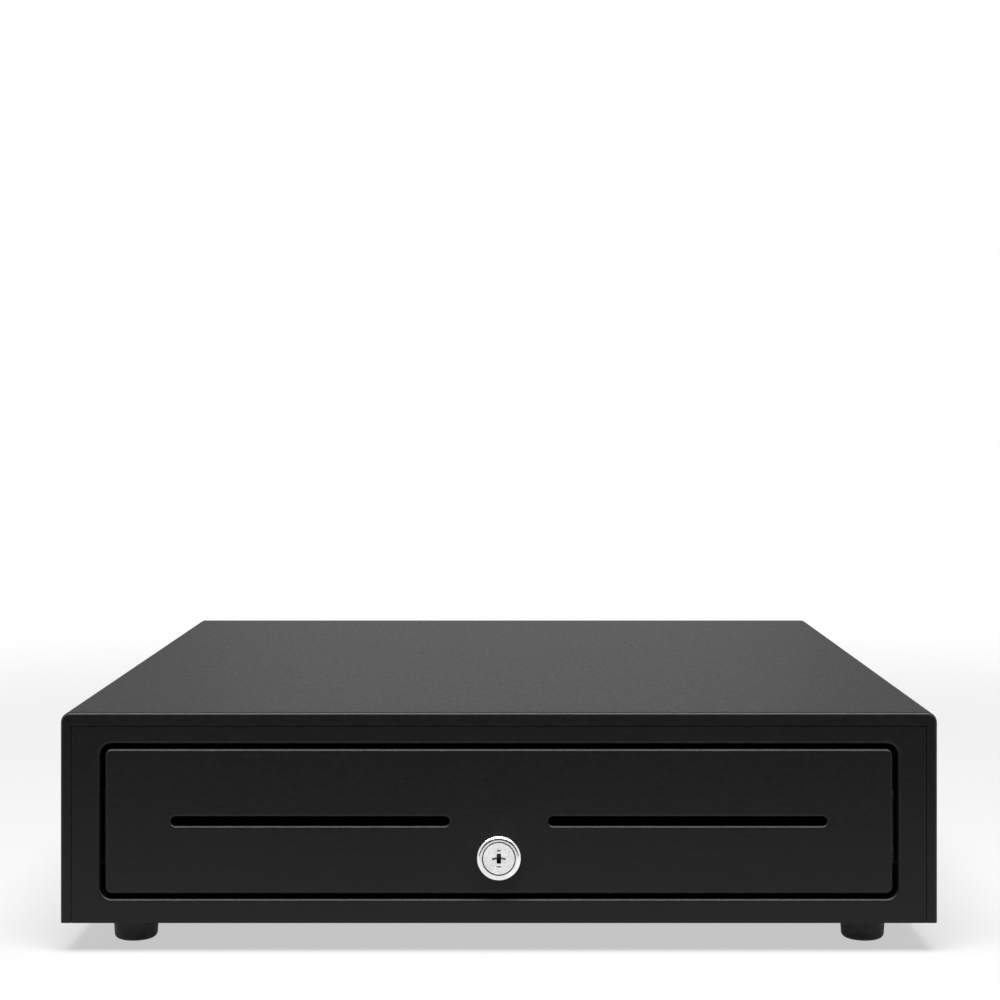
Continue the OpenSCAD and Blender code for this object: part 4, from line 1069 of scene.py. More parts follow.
class DRAWER_OT_surround(bpy.types.Operator):
    """Fold the front frame around the drawer's opening"""

    bl_idname = "drawer.surround"
    bl_label = "Front frame"

    def execute(self, context):
        size, front = context.scene.drawer_casing, context.scene.drawer_front
        low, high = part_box("top_cover")
        side = high.x - size.side_return - size.seam
        top = high.z - size.top_return - size.seam
        surround = self.opening(front, low, high)
        round_folds("y", low.y, front.opening_edge, 7)
        add_rectangle((0, low.y, (low.z + top) / 2), 2 * side, top - low.z)
        bpy.ops.mesh.delete(type="ONLY_FACE")
        fill_level("y", low.y)
        self.under_flange(size, low, high, side)
        self.rear_flange(size, low, side, top)
        fold_sheet(surround, size.sheet)
        stand_in(surround, "front_frame")
        return {"FINISHED"}

    def opening(self, front, low, high):
        """Start with the opening and the rim folded in around it."""
        width = high.x - low.x - 2 * front.side_margin
        bottom, top = low.z + front.bottom_margin, high.z - front.top_margin
        centre = Vector((0, low.y, (bottom + top) / 2))
        margin = 2.5 * front.opening_edge
        surround = new_outline(
            "front_surround", centre, width, top - bottom, front.opening_corner, margin, steps=10
        )
        pull((0, front.opening_depth, 0))
        bpy.ops.mesh.delete(type="FACE")
        return surround

    def under_flange(self, size, low, high, side):
        """Fold the flange under the base, kept clear of the cover's lips."""
        clearance, step = 0.3 * size.sheet, 0.8 * size.sheet
        reach = high.x - size.bottom_lip - clearance
        pick("EDGE", lambda e: is_rim(e) and lies(e, "z", low.z) and lies(e, "y", low.y))
        pull((0, step, 0))
        resize((reach / side, 1, 1), (0, low.y, low.z))
        pull((0, size.bottom_lip, 0))

    def rear_flange(self, size, low, side, top):
        """Fold the set-back flange behind the cover's returns."""

        def at_seam(edge):
            upright = same(side, *(abs(p.x) for p in ends(edge))) and not lies(edge, "z", low.z)
            return is_rim(edge) and lies(edge, "y", low.y) and (upright or lies(edge, "z", top))

        setback, inset = 1.08 * size.sheet, 1.4 * size.sheet
        pick("EDGE", at_seam)
        pull((0, setback, 0))
        across = (side + size.side_return - inset) / side
        rise = (top + size.top_return - inset - low.z) / (top - low.z)
        flare((across, 1, rise), (0, low.y, low.z))


class DRAWER_OT_panel(bpy.types.Operator):
    """Press the drawer front with its two media slots"""

    bl_idname = "drawer.panel"
    bl_label = "Drawer front"

    def execute(self, context):
        sheet, front = context.scene.drawer_casing.sheet, context.scene.drawer_front
        low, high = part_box("drawer_front")
        centre = Vector((0, low.y, (low.z + high.z) / 2))
        border = 1.9 * front.panel_edge
        width, height = high.x - low.x - 2 * border, high.z - low.z - 2 * border
        panel = new_outline("front_panel", centre, width, height, front.panel_corner - border, border)
        bpy.ops.mesh.delete(type="ONLY_FACE")
        pick("EDGE", lambda e: is_outer(e, "xz", low, high, border))
        pull((0, high.y - low.y, 0))
        self.back_return(front, low, high)
        round_folds("y", low.y, front.panel_edge, 7)
        self.slots(front, centre)
        clearance = 0.3 * sheet
        self.lock_hole(context.scene.drawer_lock.barrel / 2 + clearance, low.y)
        fill_level("y", low.y)
        fold_sheet(panel, sheet)
        stand_in(panel, "drawer_front")
        return {"FINISHED"}

    def back_return(self, front, low, high):
        """Fold the rear edge in to the return that the box is screwed to."""
        pick("EDGE", lambda e: is_rim(e) and lies(e, "y", high.y))
        across = 1 - 2 * front.screw_return / (high.x - low.x)
        rise = 1 - 2 * front.panel_return / (high.z - low.z)
        flare((across, 1, rise), (low + high) / 2)

    def slots(self, front, centre):
        """Roll the edge of one slot and copy it to the other side."""
        left, near = centre - SPAN * front.slot_pitch / 2, 2 * front.slot_height

        def at_slot(edge):
            level = all(abs(p.z - left.z) < near for p in ends(edge))
            return level and is_fold(edge, DEPTH) and lies(edge, "y", left.y)

        add_outline(
            left, front.slot_length, front.slot_height, front.slot_height / 2, 2 * front.slot_edge, steps=10
        )
        pull((0, front.slot_depth, 0))
        bpy.ops.mesh.delete(type="FACE")
        pick("EDGE", at_slot)
        round_off(front.slot_edge, 6)
        pick("VERT", lambda v: abs(v.co.x - left.x) < front.slot_length and abs(v.co.z - left.z) < near)
        repeat((front.slot_pitch, 0, 0), 1)

    def lock_hole(self, radius, front_level):
        """Add the outline of the lock's hole."""
        low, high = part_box("lock_barrel")
        middle, turn = (0, front_level, (low.z + high.z) / 2), (QUARTER, 0, 0)
        bpy.ops.mesh.primitive_circle_add(vertices=64, radius=radius, location=middle, rotation=turn)


class DRAWER_OT_lock(bpy.types.Operator):
    """Turn the lock's bezel and its plug, and cut the keyway"""

    bl_idname = "drawer.lock"
    bl_label = "Key lock"

    FACETS = 96
    # Gap between bezel and plug, and chamfer at the barrel's end
    PLAY, CHAMFER = 0.00005, 0.0006
    # Depth of the plug's dish, width of the slope around it and of the flat rim outside that
    DISH, DISH_SLOPE, DISH_RIM = 0.00005, 0.0006, 0.0007
    # Groove around the plug's face: width and depth, and how far behind the face the black ring of painted
    # shade in it starts
    GROOVE, GROOVE_DEPTH, SEAL_RECESS = 0.0005, 0.0024, 0.0008
    # Rear of the plug: step in its radius and length behind that, radius and depth of the rod's hole
    TAIL_STEP, TAIL, ROD_RADIUS, ROD_DEPTH = 0.002, 0.004, 0.0025, 0.003
    # Depth of the keyway, and depth, half height and tilt in degrees of the wards beside it
    KEYWAY_DEPTH, WARD_DEPTH, WARD_HALF, WARD_TILT = 0.012, 0.003, 0.00055, 13
    # The two stamped marks: height above the plug's middle, half width and half height
    MARKS = ((-0.0038, 0.0012, 0.00027), (0.0037, 0.001, 0.00032))
    # Depth of the marks, and top and bottom of the black painted shade in them
    MARK_DEPTH, COLOUR_TOP, COLOUR_BOTTOM = 0.0006, 0.0002, 0.0005
    # Wafers in the keyway, blackened as painted shade for the dark keyway: how many, how far apart, how thick
    # and how far behind the face
    WAFERS, WAFER_PITCH, WAFER_SHEET, WAFER_RECESS = 5, 0.0014, 0.0011, 0.0042
    # Rounded edges of the keyway, the wards, the marks and the wafers, and a gap too small to see
    KEYWAY_EDGE, WARD_EDGE, MARK_EDGE, WAFER_EDGE, HAIR = 0.0003, 0.00015, 0.0002, 0.0001, 0.00001

    def execute(self, context):
        size = context.scene.drawer_lock
        low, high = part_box("lock_barrel")
        centre = Vector((0, low.y, (low.z + high.z) / 2))
        self.bezel(size, low, high, centre)
        face = Vector((0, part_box("lock_plug")[0].y, centre.z))
        self.plug(size, face)
        self.wafers(size, face)
        self.painted_shade_fill(size.plug / 2, face)
        return {"FINISHED"}

    def bezel(self, size, low, high, centre):
        """Collar with a sloped edge and barrel, in one turning."""
        collar, barrel, bore = (high.x - low.x) / 2, size.barrel / 2, size.plug / 2 + self.PLAY
        back, lean, brim = high.y - low.y, math.radians(size.slope), size.brim
        profile = [(bore, back), (bore, 0)]
        profile += arc((size.face / 2, size.shoulder), size.shoulder, 270, 270 + size.slope, 6)
        far, near = collar - brim, profile[-1]
        rise = (far + brim * math.sin(lean) - near[0]) * math.tan(lean)
        profile += arc((far, near[1] + rise + brim * math.cos(lean)), brim, 270 + size.slope, 360, 6)
        profile += [(collar, size.proud), (barrel, size.proud)]
        profile += [(barrel, back - self.CHAMFER), (barrel - self.CHAMFER, back), (bore, back)]
        stand_in(lathe("lock_bezel", profile, centre, DEPTH, self.FACETS), "lock_barrel")

    def plug(self, size, face):
        """The turning plug: a shallow dished face with the keyway, its wards and two stamped marks."""
        low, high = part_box("lock_plug")
        radius, back = size.plug / 2, high.y - low.y
        rim, tail, rod = radius - self.GROOVE, radius - self.TAIL_STEP, self.ROD_RADIUS
        flat = rim - self.DISH_RIM
        profile = [(0, self.DISH), (flat - self.DISH_SLOPE, 0.6 * self.DISH), (flat, 0)]
        profile += [(rim, 0), (rim, self.GROOVE_DEPTH), (radius, self.GROOVE_DEPTH)]
        profile += [(radius, back - self.TAIL), (tail, back - self.TAIL), (tail, back)]
        profile += [(rod, back), (rod, back - self.ROD_DEPTH), (0, back - self.ROD_DEPTH)]
        plug = lathe("lock_plug_face", profile, face, DEPTH, self.FACETS)
        half = Vector((size.keyway_width / 2, self.KEYWAY_DEPTH, size.keyway_height / 2))
        tools = [self.tool(face - half, face + half, self.KEYWAY_EDGE)]
        half = Vector((size.ward_span / 4, self.WARD_DEPTH, self.WARD_HALF))
        for side in (-1, 1):
            middle = face + SPAN * side * size.ward_span / 4
            tools.append(self.tool(middle - half, middle + half, self.WARD_EDGE))
            tools[-1].rotation_euler = (0, side * math.radians(self.WARD_TILT), 0)
        for middle, half in self.marks(face):
            half.y = self.MARK_DEPTH
            tools.append(self.tool(middle - half, middle + half, self.MARK_EDGE))
        for tool in tools:
            cut(plug, tool)
        stand_in(plug, "lock_plug", angle=25)

    def marks(self, face):
        """Middle and half size of each stamped mark, without its depth."""
        return [(face + UP * up, Vector((half, 0, tall))) for up, half, tall in self.MARKS]

    def painted_shade_fill(self, radius, face):
        """Painted shade: a black ring in the groove around the plug's face, and black blocks in its stamped
        marks.
        """
        inner, outer = radius - self.GROOVE + self.HAIR, radius - self.HAIR
        front, back = self.SEAL_RECESS, self.GROOVE_DEPTH - 10 * self.HAIR
        profile = [(inner, front), (outer, front), (outer, back), (inner, back), (inner, front)]
        # A black ring set back in the groove, as painted shade along the gap around the plug
        parts = [lathe("seal", profile, face, DEPTH, self.FACETS)]
        # Black blocks in the stamped marks, as painted shade in their hollows
        for middle, half in self.marks(face):
            half *= 0.96
            low, high = middle - half + DEPTH * self.COLOUR_TOP, middle + half + DEPTH * self.COLOUR_BOTTOM
            parts.append(self.tool(low, high, 0.9 * self.MARK_EDGE))
        # The black rubber finish here is painted shade, not a rubber seal
        dress(joined("lock_seal", parts), "lock", "black_rubber")

    def wafers(self, size, face):
        """The stack of wafers that closes the keyway behind the face, black as painted shade in the keyway.
        """
        half = Vector((0.49 * size.keyway_width, 0, 0.49 * size.keyway_height))
        front, back = DEPTH * self.WAFER_RECESS, DEPTH * (self.WAFER_RECESS + self.WAFER_SHEET)
        stack = add_block("lock_wafers", face - half + front, face + half + back)
        open_mesh(stack)
        pick("EDGE", lambda e: not runs(e, DEPTH))
        round_off(self.WAFER_EDGE, 2)
        bpy.ops.mesh.select_linked()
        repeat((0, self.WAFER_PITCH, 0), self.WAFERS - 1)
        # The black oxide finish on the wafers is painted shade: it keeps the keyway dark
        dress(stack, "lock", "black_screw")

    def tool(self, low, high, edge):
        """A cutter with rounded edges along the depth, turned about its own middle."""
        cutter = add_block("cutter", low, high)
        open_mesh(cutter)
        pick("EDGE", lambda e: runs(e, DEPTH))
        round_off(edge, 3)
        close_mesh()
        bpy.ops.object.origin_set(type="ORIGIN_GEOMETRY", center="BOUNDS")
        return cutter


class DRAWER_OT_feet(bpy.types.Operator):
    """Mould one rubber foot and set it under the four corners"""

    bl_idname = "drawer.feet"
    bl_label = "Rubber feet"

    def execute(self, context):
        nodes = sorted(node for node in frame["nodes"] if node.startswith("foot_") and node != "foot_screws")
        places = {}
        for node in nodes:
            low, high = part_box(node)
            places[node] = Matrix.Translation(((low.x + high.x) / 2, (low.y + high.y) / 2, 0))
        low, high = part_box(nodes[0])
        stand_in_copies(self.foot((high.x - low.x) / 2, high.z), "rubber_", places)
        return {"FINISHED"}

    def foot(self, top, tall):
        """A tapered foot with a rounded tip and a well for its screw, standing at the origin."""
        tip, edge, well, bore = top - 0.00075, 0.0024, 0.0042, 0.0015
        seat, lead, crown = 0.55 * tall, 0.001, 0.0006
        profile = [(bore, seat), (well, seat), (well, lead), (well + crown, 0)]
        profile += arc((tip - edge, edge), edge, 270, 360, 9)
        profile += [(top, tall - lead)]
        profile += arc((top - crown, tall - crown), crown, 0, 90, 4)
        profile += [(bore, tall), (bore, seat)]
        return lathe("foot", profile, (0, 0, 0), UP, 64)


class DRAWER_OT_screws(bpy.types.Operator):
    """Model one pan-head screw of each length and copy it to every screw's place"""

    bl_idname = "drawer.screws"
    bl_label = "Screws"

    NODES = ("cover_screws", "foot_screws", "bracket_screws", "latch_screws", "front_screws")
    # Each screw of a node is turned further than the one before, in degrees
    TURN = 37

    def execute(self, context):
        size = context.scene.drawer_hardware
        models = {}
        for node in self.NODES:
            copies = []
            for index, points in enumerate(solids(node)):
                middle, half, axis = screw_line(points, size.head)
                shank = round(2 * half - size.head_height, 6)
                if shank not in models:
                    models[shank] = self.screw(size, shank)
                seat = Matrix.Translation(middle + axis * (half - size.head_height))
                turn = UP.rotation_difference(axis).to_matrix().to_4x4()
                spin = Matrix.Rotation(math.radians(self.TURN * index), 4, "Z")
                copies.append(copied(models[shank], "copy", seat @ turn @ spin))
            stand_in(joined(node + "_pan_head", copies), node)
        for model in models.values():
            bpy.data.objects.remove(model)
        return {"FINISHED"}

    def screw(self, size, shank):
        """A domed head with a cross recess, on a short shank."""
        radius, tall, stem = size.head / 2, size.head_height, size.shank / 2
        lead, edge, dome = 0.0004, 0.0001, 0.0012
        profile = [(0, -shank), (stem - lead, -shank), (stem, lead - shank), (stem, 0)]
        profile += [(radius - edge, 0), (radius, 3 * edge)]
        profile += arc((radius - dome, tall - dome), dome, 0, 78, 6)
        profile += [(0, tall)]
        head = lathe("screw", profile, (0, 0, 0), UP, 40)
        arm, taper = Vector((0.3 * size.head, 0.065 * size.head, 0.5 * tall)), 0.62
        for turn in (0, QUARTER):
            cutter = add_block("recess", UP * tall - arm, UP * tall + arm)
            open_mesh(cutter)
            pick("VERT", lambda v: v.co.z < tall)
            resize((taper, taper, 1), (0, 0, 0))
            close_mesh()
            cutter.rotation_euler = (0, 0, turn)
            cut(head, cutter)
        return head


class DRAWER_OT_springs(bpy.types.Operator):
    """Wind the ejector, latch and clip springs and lay the wires"""

    bl_idname = "drawer.springs"
    bl_label = "Springs and wires"

    # Points of one turn, and the angle in degrees up to which wire is shaded smooth
    STEPS, SMOOTH = 28, 60
    # Gaps: between close turns, around a post or along an arm, and around the clips' rod
    TURN_GAP, WIRE_GAP, ROD_GAP = 0.0005, 0.00015, 0.0005
    # End hooks of the latch spring: first angle and sweep, in degrees
    HOOK_START, HOOK_SWEEP = 40, 280
    # Length of one twist of the wires
    TWIST = 0.012

    def execute(self, context):
        size, tray = context.scene.drawer_hardware, context.scene.drawer_tray
        self.ejectors(size)
        self.latch(size)
        self.clips(size, tray)
        self.loom(size)
        return {"FINISHED"}

    def ejectors(self, size):
        """The two springs that push the drawer out, side by side."""
        nodes, wire = ("eject_spring_left", "eject_spring_right"), size.eject_wire
        low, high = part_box(nodes[0])
        start = Vector(((low.x + high.x) / 2, low.y + wire / 2, (low.z + high.z) / 2))
        radius, tall = (high.x - low.x - wire) / 2, high.y - low.y - wire
        model = draw_wire("ejector", self.coil(start, DEPTH, radius, wire, size.eject_turns, tall), wire / 2)
        places = {node: Matrix.Translation(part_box(node)[0] - low) for node in nodes}
        stand_in_copies(model, "wound_", places, angle=self.SMOOTH)

    def coil(self, start, axis, radius, wire, turns, tall):
        """Points of a spring with close end turns."""
        side = UP if abs(axis.z) < 0.5 else SPAN
        other = axis.cross(side)
        lay = wire + self.TURN_GAP
        points = []
        for i in range(turns * self.STEPS + 1):
            turn = i / self.STEPS
            if turn < 1:
                along = turn * lay
            elif turn > turns - 1:
                along = tall - (turns - turn) * lay
            else:
                along = lay + (turn - 1) / (turns - 2) * (tall - 2 * lay)
            angle = 2 * math.pi * turn
            points.append(start + axis * along + (side * math.cos(angle) + other * math.sin(angle)) * radius)
        return points

    def latch(self, size):
        """The latch's return spring, hooked to the plate's post and to the latch's stud, which pulls it."""
        node, wire = "latch_spring", size.latch_wire
        low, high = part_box(node)
        centre = (low + high) / 2
        start = Vector((low.x + wire / 2, centre.y, centre.z))
        end = Vector((high.x - wire / 2, centre.y, centre.z))
        coil = self.coil(start, SPAN, (high.z - low.z - wire) / 2, wire, size.latch_turns, end.x - start.x)
        slack = wire / 2 + self.WIRE_GAP
        post = self.hook(start - SPAN * size.post_gap, size.latch_post / 2 + slack, SPAN)
        stud = self.hook(end + SPAN * size.stud_gap, size.latch_stud / 2 + slack, -SPAN)
        path = post + self.lead(post, coil) + coil + self.lead(stud, coil[::-1])[::-1] + stud[::-1]
        spring = draw_wire("wound_latch_spring", path, wire / 2)
        stand_in(spring, node, angle=self.SMOOTH, pulled=("latch", start, end))

    def hook(self, centre, radius, ahead, steps=24):
        """Points of a spring's end hook around a post, open towards the coil."""
        side = ahead.cross(UP)
        angles = [math.radians(self.HOOK_START + self.HOOK_SWEEP * i / steps) for i in range(steps + 1)]
        return [centre + (ahead * math.cos(a) + side * math.sin(a)) * radius for a in angles]

    def lead(self, hook, coil, steps=8):
        """Points that lead from an end hook to the coil's first turn."""
        return smooth_path([hook[-3], hook[-1], coil[0], coil[3]], steps)[steps + 1 : 2 * steps]

    def clips(self, size, tray):
        """The clips' torsion springs, each around the rod at its clip's hinge."""
        low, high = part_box("clip_spring_1")
        model = self.torsion(size, tray, (high.x - low.x - size.clip_wire) / 2)
        stand_in_copies(model, "wound_", clip_places(tray, "clip_spring_"), angle=self.SMOOTH)

    def torsion(self, size, tray, half):
        """A torsion spring about the hinge at the origin, with a leg on the clip's arm."""
        radius = tray.rod / 2 + self.ROD_GAP + size.clip_wire / 2
        last = size.clip_turns * self.STEPS
        points = []
        for i in range(last + 1):
            angle = 2 * math.pi * i / self.STEPS + QUARTER
            along = (2 * i / last - 1) * half
            points.append(Vector((along, radius * math.cos(angle), radius * math.sin(angle))))
        rest = (tray.clip_sheet + size.clip_wire) / 2 + self.WIRE_GAP
        # Distance along the clip's arm and height above its middle
        leg = [(0.003, radius), (0.007, (radius + rest) / 2), (0.012, rest)]
        points += smooth_path([points[-1]] + [(half, -far, rise) for far, rise in leg], 6)[1:]
        return draw_wire("torsion", points, size.clip_wire / 2)

    def loom(self, size):
        """Two twisted wires along the base's rear edge, from the socket to the coil."""
        node, radius = "wire_loom", size.loom / 2
        middle = smooth_path(self.route(node, radius), 10)
        strands = []
        for phase in (0, math.pi):
            points, travelled = [], 0.0
            for index, point in enumerate(middle):
                ahead = middle[min(index + 1, len(middle) - 1)] - middle[max(index - 1, 0)]
                ahead.normalize()
                side = ahead.cross(DEPTH) if abs(ahead.y) < 0.9 else ahead.cross(UP)
                side.normalize()
                if index:
                    travelled += (point - middle[index - 1]).length
                angle = phase + travelled / self.TWIST * 2 * math.pi
                out = side * math.cos(angle) + ahead.cross(side) * math.sin(angle)
                points.append(point + out * radius / 2)
            strands.append(draw_wire("strand", points, radius / 2))
        stand_in(joined("twisted_wires", strands), node, angle=self.SMOOTH)

    def route(self, node, radius):
        """Points of the wires' middle line: along the rear edge, up beside the coil and forward to it."""
        low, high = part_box(node)
        back, floor, start = high.y - radius, low.z + radius, low.x
        coil_low, coil_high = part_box("solenoid_coil")
        end = (coil_low + coil_high) / 2 - SPAN * 0.002
        over, side = 0.0015, end.x + 0.003
        # Place across and height above the floor
        along = [
            (start + 0.001, 0.002), (start + 0.008, 0.0016), (start + 0.016, 0), (-0.06, 0), (-0.052, 0.0006),
            (-0.045, over), (0.01, over), (end.x - 0.006, over), (end.x - 0.001, 0.0025),
            (end.x + 0.002, 0.0055), (side, 0.0095),
        ]
        points = [(across, back, floor + rise) for across, rise in along]
        points += [(side, back - 0.0005, end.z), (side, back - 0.0025, end.z + 0.0015)]
        return points + [(side, low.y + 0.0008, end.z + 0.0018)]


def clip_places(tray, prefix):
    """Place of each clip's hinge in the middle of its node, turned down to the compartment's floor."""
    clearance = 0.0002
    dip = math.asin((tray.hinge_height - tray.clip_tip - clearance) / (tray.clip_length - tray.clip_tip))
    places = {}
    for bill in range(1, tray.bills + 1):
        low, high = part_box(f"{prefix}{bill}")
        hinge = JOINT_AT[f"clip_{bill}_hinge"]
        place = Matrix.Translation(((low.x + high.x) / 2, hinge.y, hinge.z))
        places[f"{prefix}{bill}"] = place @ Matrix.Rotation(dip, 4, "X")
    return places


class DRAWER_OT_cash_tray(bpy.types.Operator):
    """Mould the tray with its bill compartments and the bay for the coins"""

    bl_idname = "drawer.cash_tray"
    bl_label = "Cash tray"

    # Corner radius of the rim and of the bay
    RIM_CORNER, BAY_CORNER = 0.002, 0.0006

    def execute(self, context):
        size = context.scene.drawer_tray
        low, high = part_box("cash_tray")
        inner, margin = high.x - size.overhang, 1.3 * size.edge
        tray = self.shell(size, low, high, inner)
        self.bills(size, low, high, inner, margin)
        self.bay(size, low, high, inner, margin)
        fill_level("z", high.z)
        clean_mesh()
        round_folds("z", high.z, size.edge, 3)
        stand_in(tray, "cash_tray")
        return {"FINISHED"}

    def shell(self, size, low, high, inner):
        """The outside: a rim that overhangs at both sides, and the walls and floor below it."""
        border = 2 * size.edge
        centre = Vector((0, (low.y + high.y) / 2, high.z))
        tray = new_outline(
            "moulded_cash_tray", centre, 2 * (high.x - border), high.y - low.y - 2 * border,
            self.RIM_CORNER - border, border, facing="UP", steps=4,
        )
        bpy.ops.mesh.delete(type="ONLY_FACE")
        pick("EDGE", lambda e: is_outer(e, "xy", low, high, border))
        pull((0, 0, -size.rim))
        flare((inner / high.x, 1, 1), centre)
        pull((0, 0, low.z - high.z + size.rim))
        bpy.ops.mesh.edge_face_add()
        return tray

    def bills(self, size, low, high, inner, margin):
        """Sink one bill compartment and copy it across."""
        wide = (2 * inner - (size.bills + 1) * size.wall) / size.bills
        pitch, floor = wide + size.wall, low.z + size.wall
        first = (-(size.bills - 1) / 2 * pitch, high.y - size.wall - size.bill_length / 2, high.z)
        add_outline(first, wide, size.bill_length, size.pocket_corner, margin, facing="UP", steps=6)
        pull((0, 0, floor - high.z))
        bpy.ops.mesh.region_to_loop()
        round_off(size.fillet, 4)
        pick("VERT", lambda v: same(v.co.z, floor))
        bpy.ops.mesh.select_linked()
        repeat((pitch, 0, 0), size.bills - 1)

    def bay(self, size, low, high, inner, margin):
        """Sink the bay that takes the coin tray."""
        front, back = low.y + size.wall, high.y - 2 * size.wall - size.bill_length
        centre, width = (0, (front + back) / 2, high.z), 2 * (inner - size.wall)
        add_outline(centre, width, back - front, self.BAY_CORNER, margin, facing="UP", steps=3)
        pull((0, 0, low.z + size.wall - high.z))


class DRAWER_OT_coin_tray(bpy.types.Operator):
    """Mould the lift-out tray with its scooped coin cups"""

    bl_idname = "drawer.coin_tray"
    bl_label = "Coin tray"

    CORNER = 0.001
    # Steps from a scoop's edge to its lowest line, and half the width of the flat strip left there
    SCOOP_STEPS, SCOOP_END = 12, 0.002

    def execute(self, context):
        size = context.scene.drawer_tray
        low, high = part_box("coin_tray")
        centre = Vector((0, (low.y + high.y) / 2, high.z))
        wide = (high.x - low.x - (size.columns + 1) * size.wall) / size.columns
        deep = (high.y - low.y - (size.rows + 1) * size.wall) / size.rows
        first = Vector((low.x + size.wall + wide / 2, low.y + size.wall + deep / 2, high.z))
        tray = self.cup(size, first, wide, deep, low.z + size.wall)
        repeat((wide + size.wall, 0, 0), size.columns - 1)
        bpy.ops.mesh.select_all(action="SELECT")
        repeat((0, deep + size.wall, 0), size.rows - 1)
        bpy.ops.mesh.select_mode(type="VERT")
        add_rectangle(centre, high.x - low.x, high.y - low.y, "UP")
        round_corners(self.CORNER, 3)
        bpy.ops.mesh.select_mode(type="FACE")
        bpy.ops.mesh.delete(type="ONLY_FACE")
        fill_level("z", high.z)
        clean_mesh()
        pick("EDGE", is_rim)
        pull((0, 0, low.z - high.z))
        bpy.ops.mesh.edge_face_add()
        clean_mesh()
        round_folds("z", high.z, size.edge, 3)
        stand_in(tray, "coin_tray")
        return {"FINISHED"}

    def cup(self, size, first, wide, deep, floor):
        """One cup, left selected: straight walls down to a floor that curves like a scoop."""
        scoop, reach = size.scoop, deep / 2
        edge_angle = math.asin(reach / scoop)
        level = floor + scoop * (1 - math.cos(edge_angle))
        tray = new_outline(
            "moulded_coin_tray", first, wide, deep, size.pocket_corner, 1.3 * size.edge, facing="UP", steps=6
        )
        pull((0, 0, level - first.z))
        for i in range(1, self.SCOOP_STEPS + 1):
            angle = edge_angle * (1 - i / self.SCOOP_STEPS)
            new_reach = max(scoop * math.sin(angle), self.SCOOP_END)
            new_level = floor + scoop * (1 - math.cos(angle))
            pull((0, 0, new_level - level))
            resize((1, new_reach / reach, 1), (first.x, first.y, new_level))
            reach, level = new_reach, new_level
        bpy.ops.mesh.select_mode(type="VERT")
        bpy.ops.mesh.select_all(action="SELECT")
        return tray


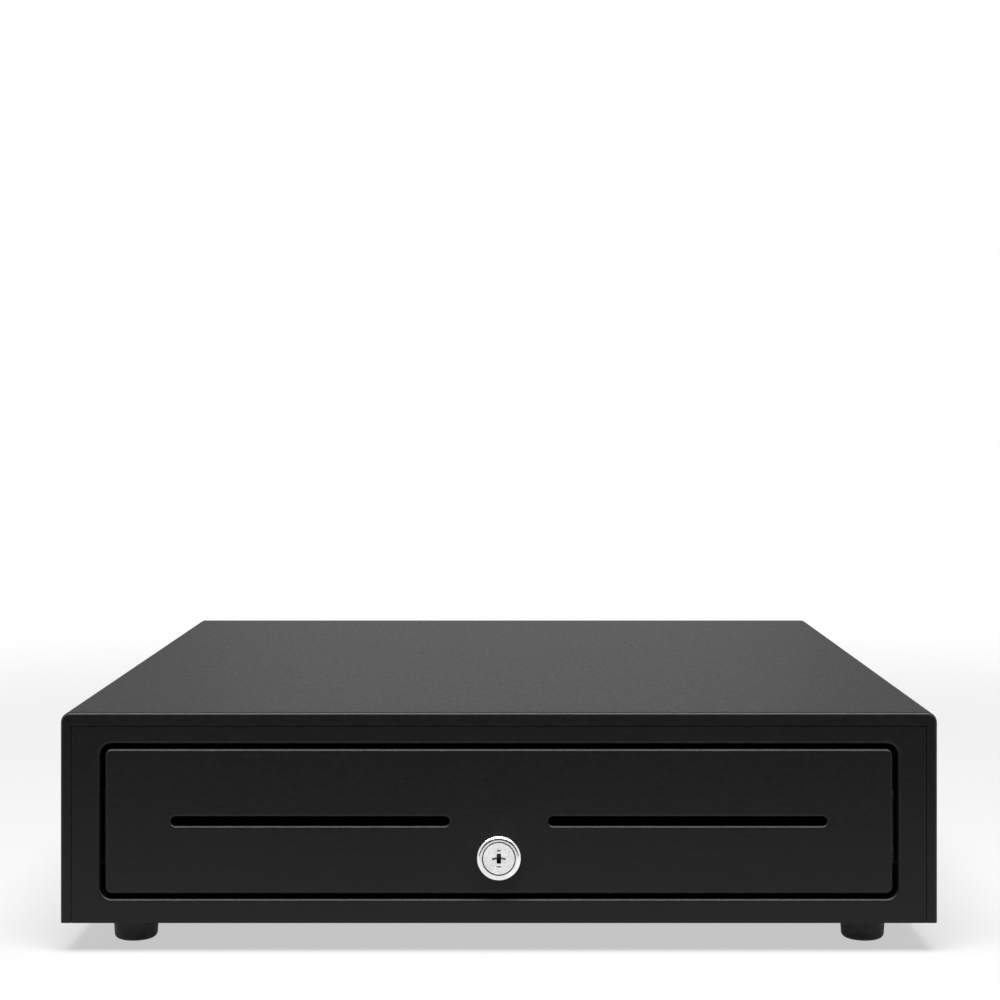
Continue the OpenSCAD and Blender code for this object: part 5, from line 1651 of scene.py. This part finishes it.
class DRAWER_OT_clips(bpy.types.Operator):
    """Mould one bill clip and copy it to every compartment"""

    bl_idname = "drawer.clips"
    bl_label = "Bill clips"

    # Wall of the hub around the rod, play on the rod, width of an ear and facets of the turned forms
    HUB_WALL, PLAY, EAR, FACETS = 0.00205, 0.00005, 0.005, 36
    # Width of a rib and its height above the arm, border of the arm and of its window, arm's inner corners
    RIB, RIB_RISE, BORDER, WINDOW_BORDER, CORNER = 0.002, 0.0016, 0.002, 0.001, 0.0002
    # Chamfers of an ear and of the rolled tip, rounding of a rib
    EAR_EDGE, TIP_EDGE, RIB_EDGE = 0.0004, 0.0005, 0.0005
    # From the hub to the arm's start, and how far a strap reaches from the hub into the arm
    HUB_GAP, STRAP = 0.0015, 0.004

    def execute(self, context):
        size = context.scene.drawer_tray
        stand_in_copies(self.clip(size), "moulded_", clip_places(size, "bill_clip_"))
        return {"FINISHED"}

    def clip(self, size):
        """Arm with a window, two ribs, a rounded tip and two ears, about the hinge at the origin."""
        wide, arm_end = size.clip_width, size.clip_length - size.clip_tip
        hub, bore = size.rod / 2 + self.HUB_WALL, size.rod / 2 + self.PLAY
        arm = self.arm(size, hub + self.HUB_GAP, arm_end)
        for side in (-1, 1):
            unite(arm, self.rib(size, side * (wide - self.RIB) / 2, hub, arm_end))
            middle = side * (wide - self.EAR) / 2
            unite(arm, self.roller("ear", hub, self.EAR_EDGE, self.EAR, (middle, 0, 0)))
            unite(arm, self.strap(size, middle, hub))
        unite(arm, self.roller("tip", size.clip_tip, self.TIP_EDGE, wide, (0, -arm_end, 0)))
        profile = [(0, -wide), (bore, -wide), (bore, wide), (0, wide)]
        cut(arm, lathe("bore", profile, (0, 0, 0), SPAN, self.FACETS))
        open_mesh(arm)
        clean_mesh()
        bpy.ops.mesh.dissolve_degenerate(threshold=LEVEL)
        close_mesh()
        return arm

    def arm(self, size, start, end):
        """The flat arm with its long window."""
        wide, thick, border = size.clip_width, size.clip_sheet, self.BORDER
        low, high = Vector((-wide / 2, -end, 0)), Vector((wide / 2, -start, 0))
        window, clear = -0.55 * size.clip_length, Vector((0.36 * wide, 0.4 * size.clip_length, 0))
        arm = new_outline(
            "clip_arm", (0, -(end + start) / 2, thick / 2), wide - 2 * border, end - start - 2 * border,
            self.CORNER, border, facing="UP", steps=5,
        )
        bpy.ops.mesh.delete(type="ONLY_FACE")
        add_outline((0, window, thick / 2), *clear.xy, 0.17 * wide, self.WINDOW_BORDER, facing="UP", steps=8)
        bpy.ops.mesh.delete(type="ONLY_FACE")

        def at_window(edge):
            near = clear / 2 + Vector((0.2, 0.2, 0)) * self.WINDOW_BORDER
            return all(abs(p.x) < near.x and abs(p.y - window) < near.y for p in ends(edge))

        pick("EDGE", lambda e: is_rim(e) and not is_outer(e, "xy", low, high, border) and not at_window(e))
        bpy.ops.mesh.fill(use_beauty=True)
        fold_sheet(arm, thick)
        return arm

    def rib(self, size, middle, hub, end):
        """A rounded rib along one side of the arm."""
        half, low, high = self.RIB / 2, -0.2 * size.clip_sheet, size.clip_sheet / 2 + self.RIB_RISE
        rib = add_block("rib", (middle - half, -end, low), (middle + half, -hub, high))
        open_mesh(rib)
        bpy.ops.mesh.select_all(action="SELECT")
        round_off(self.RIB_EDGE, 3)
        return rib

    def roller(self, name, radius, edge, wide, middle):
        """A solid roller across the arm, chamfered at both ends."""
        profile = [(0, 0), (radius - edge, 0), (radius, edge)]
        profile += [(radius, wide - edge), (radius - edge, wide), (0, wide)]
        return lathe(name, profile, Vector(middle) - SPAN * wide / 2, SPAN, self.FACETS)

    def strap(self, size, middle, hub):
        """A flat strap that ties an ear to the arm, a hair narrower than the ear and thinner than the arm."""
        half, thick, hair = self.EAR / 2, size.clip_sheet / 2, 0.00002
        low = (middle - half + hair, -hub - self.STRAP, -thick + hair)
        return add_block("strap", low, (middle + half - hair, 0, thick - hair))


class DRAWER_PT_panel(bpy.types.Panel):
    """Lists the drawer's operators and sizes."""

    bl_idname = "DRAWER_PT_panel"
    bl_label = "Cash Drawer"
    bl_space_type = "VIEW_3D"
    bl_region_type = "UI"
    bl_category = "Cash Drawer"

    def draw(self, context):
        column = self.layout.column(align=True)
        for operator in OPERATORS:
            column.operator(operator.bl_idname)
        for key, group in GROUPS.items():
            box = self.layout.box()
            settings = getattr(context.scene, key)
            box.label(text=group.__doc__)
            for name in group.__annotations__:
                box.prop(settings, name)


GROUPS = {
    "drawer_casing": CasingSizes,
    "drawer_front": FrontSizes,
    "drawer_lock": LockSizes,
    "drawer_tray": TraySizes,
    "drawer_hardware": HardwareSizes,
    "drawer_finishes": FinishColours,
    "drawer_stage": StageSettings,
}
OPERATORS = (
    DRAWER_OT_stage,
    DRAWER_OT_carried,
    DRAWER_OT_cover,
    DRAWER_OT_surround,
    DRAWER_OT_panel,
    DRAWER_OT_lock,
    DRAWER_OT_feet,
    DRAWER_OT_screws,
    DRAWER_OT_springs,
    DRAWER_OT_cash_tray,
    DRAWER_OT_coin_tray,
    DRAWER_OT_clips,
)


def register():
    """Register the settings, the operators and the panel."""
    for key, group in GROUPS.items():
        bpy.utils.register_class(group)
        setattr(bpy.types.Scene, key, bpy.props.PointerProperty(type=group))
    for item in (*OPERATORS, DRAWER_PT_panel):
        bpy.utils.register_class(item)


def unregister():
    """Take everything out again."""
    for item in (DRAWER_PT_panel, *reversed(OPERATORS)):
        bpy.utils.unregister_class(item)
    for key, group in reversed(GROUPS.items()):
        delattr(bpy.types.Scene, key)
        bpy.utils.unregister_class(group)


def main():
    """Build the drawer's looks."""
    register()
    for operator in OPERATORS:
        group, name = operator.bl_idname.split(".")
        getattr(getattr(bpy.ops, group), name)()
    clear_selection()


if __name__ == "__main__":
    main()
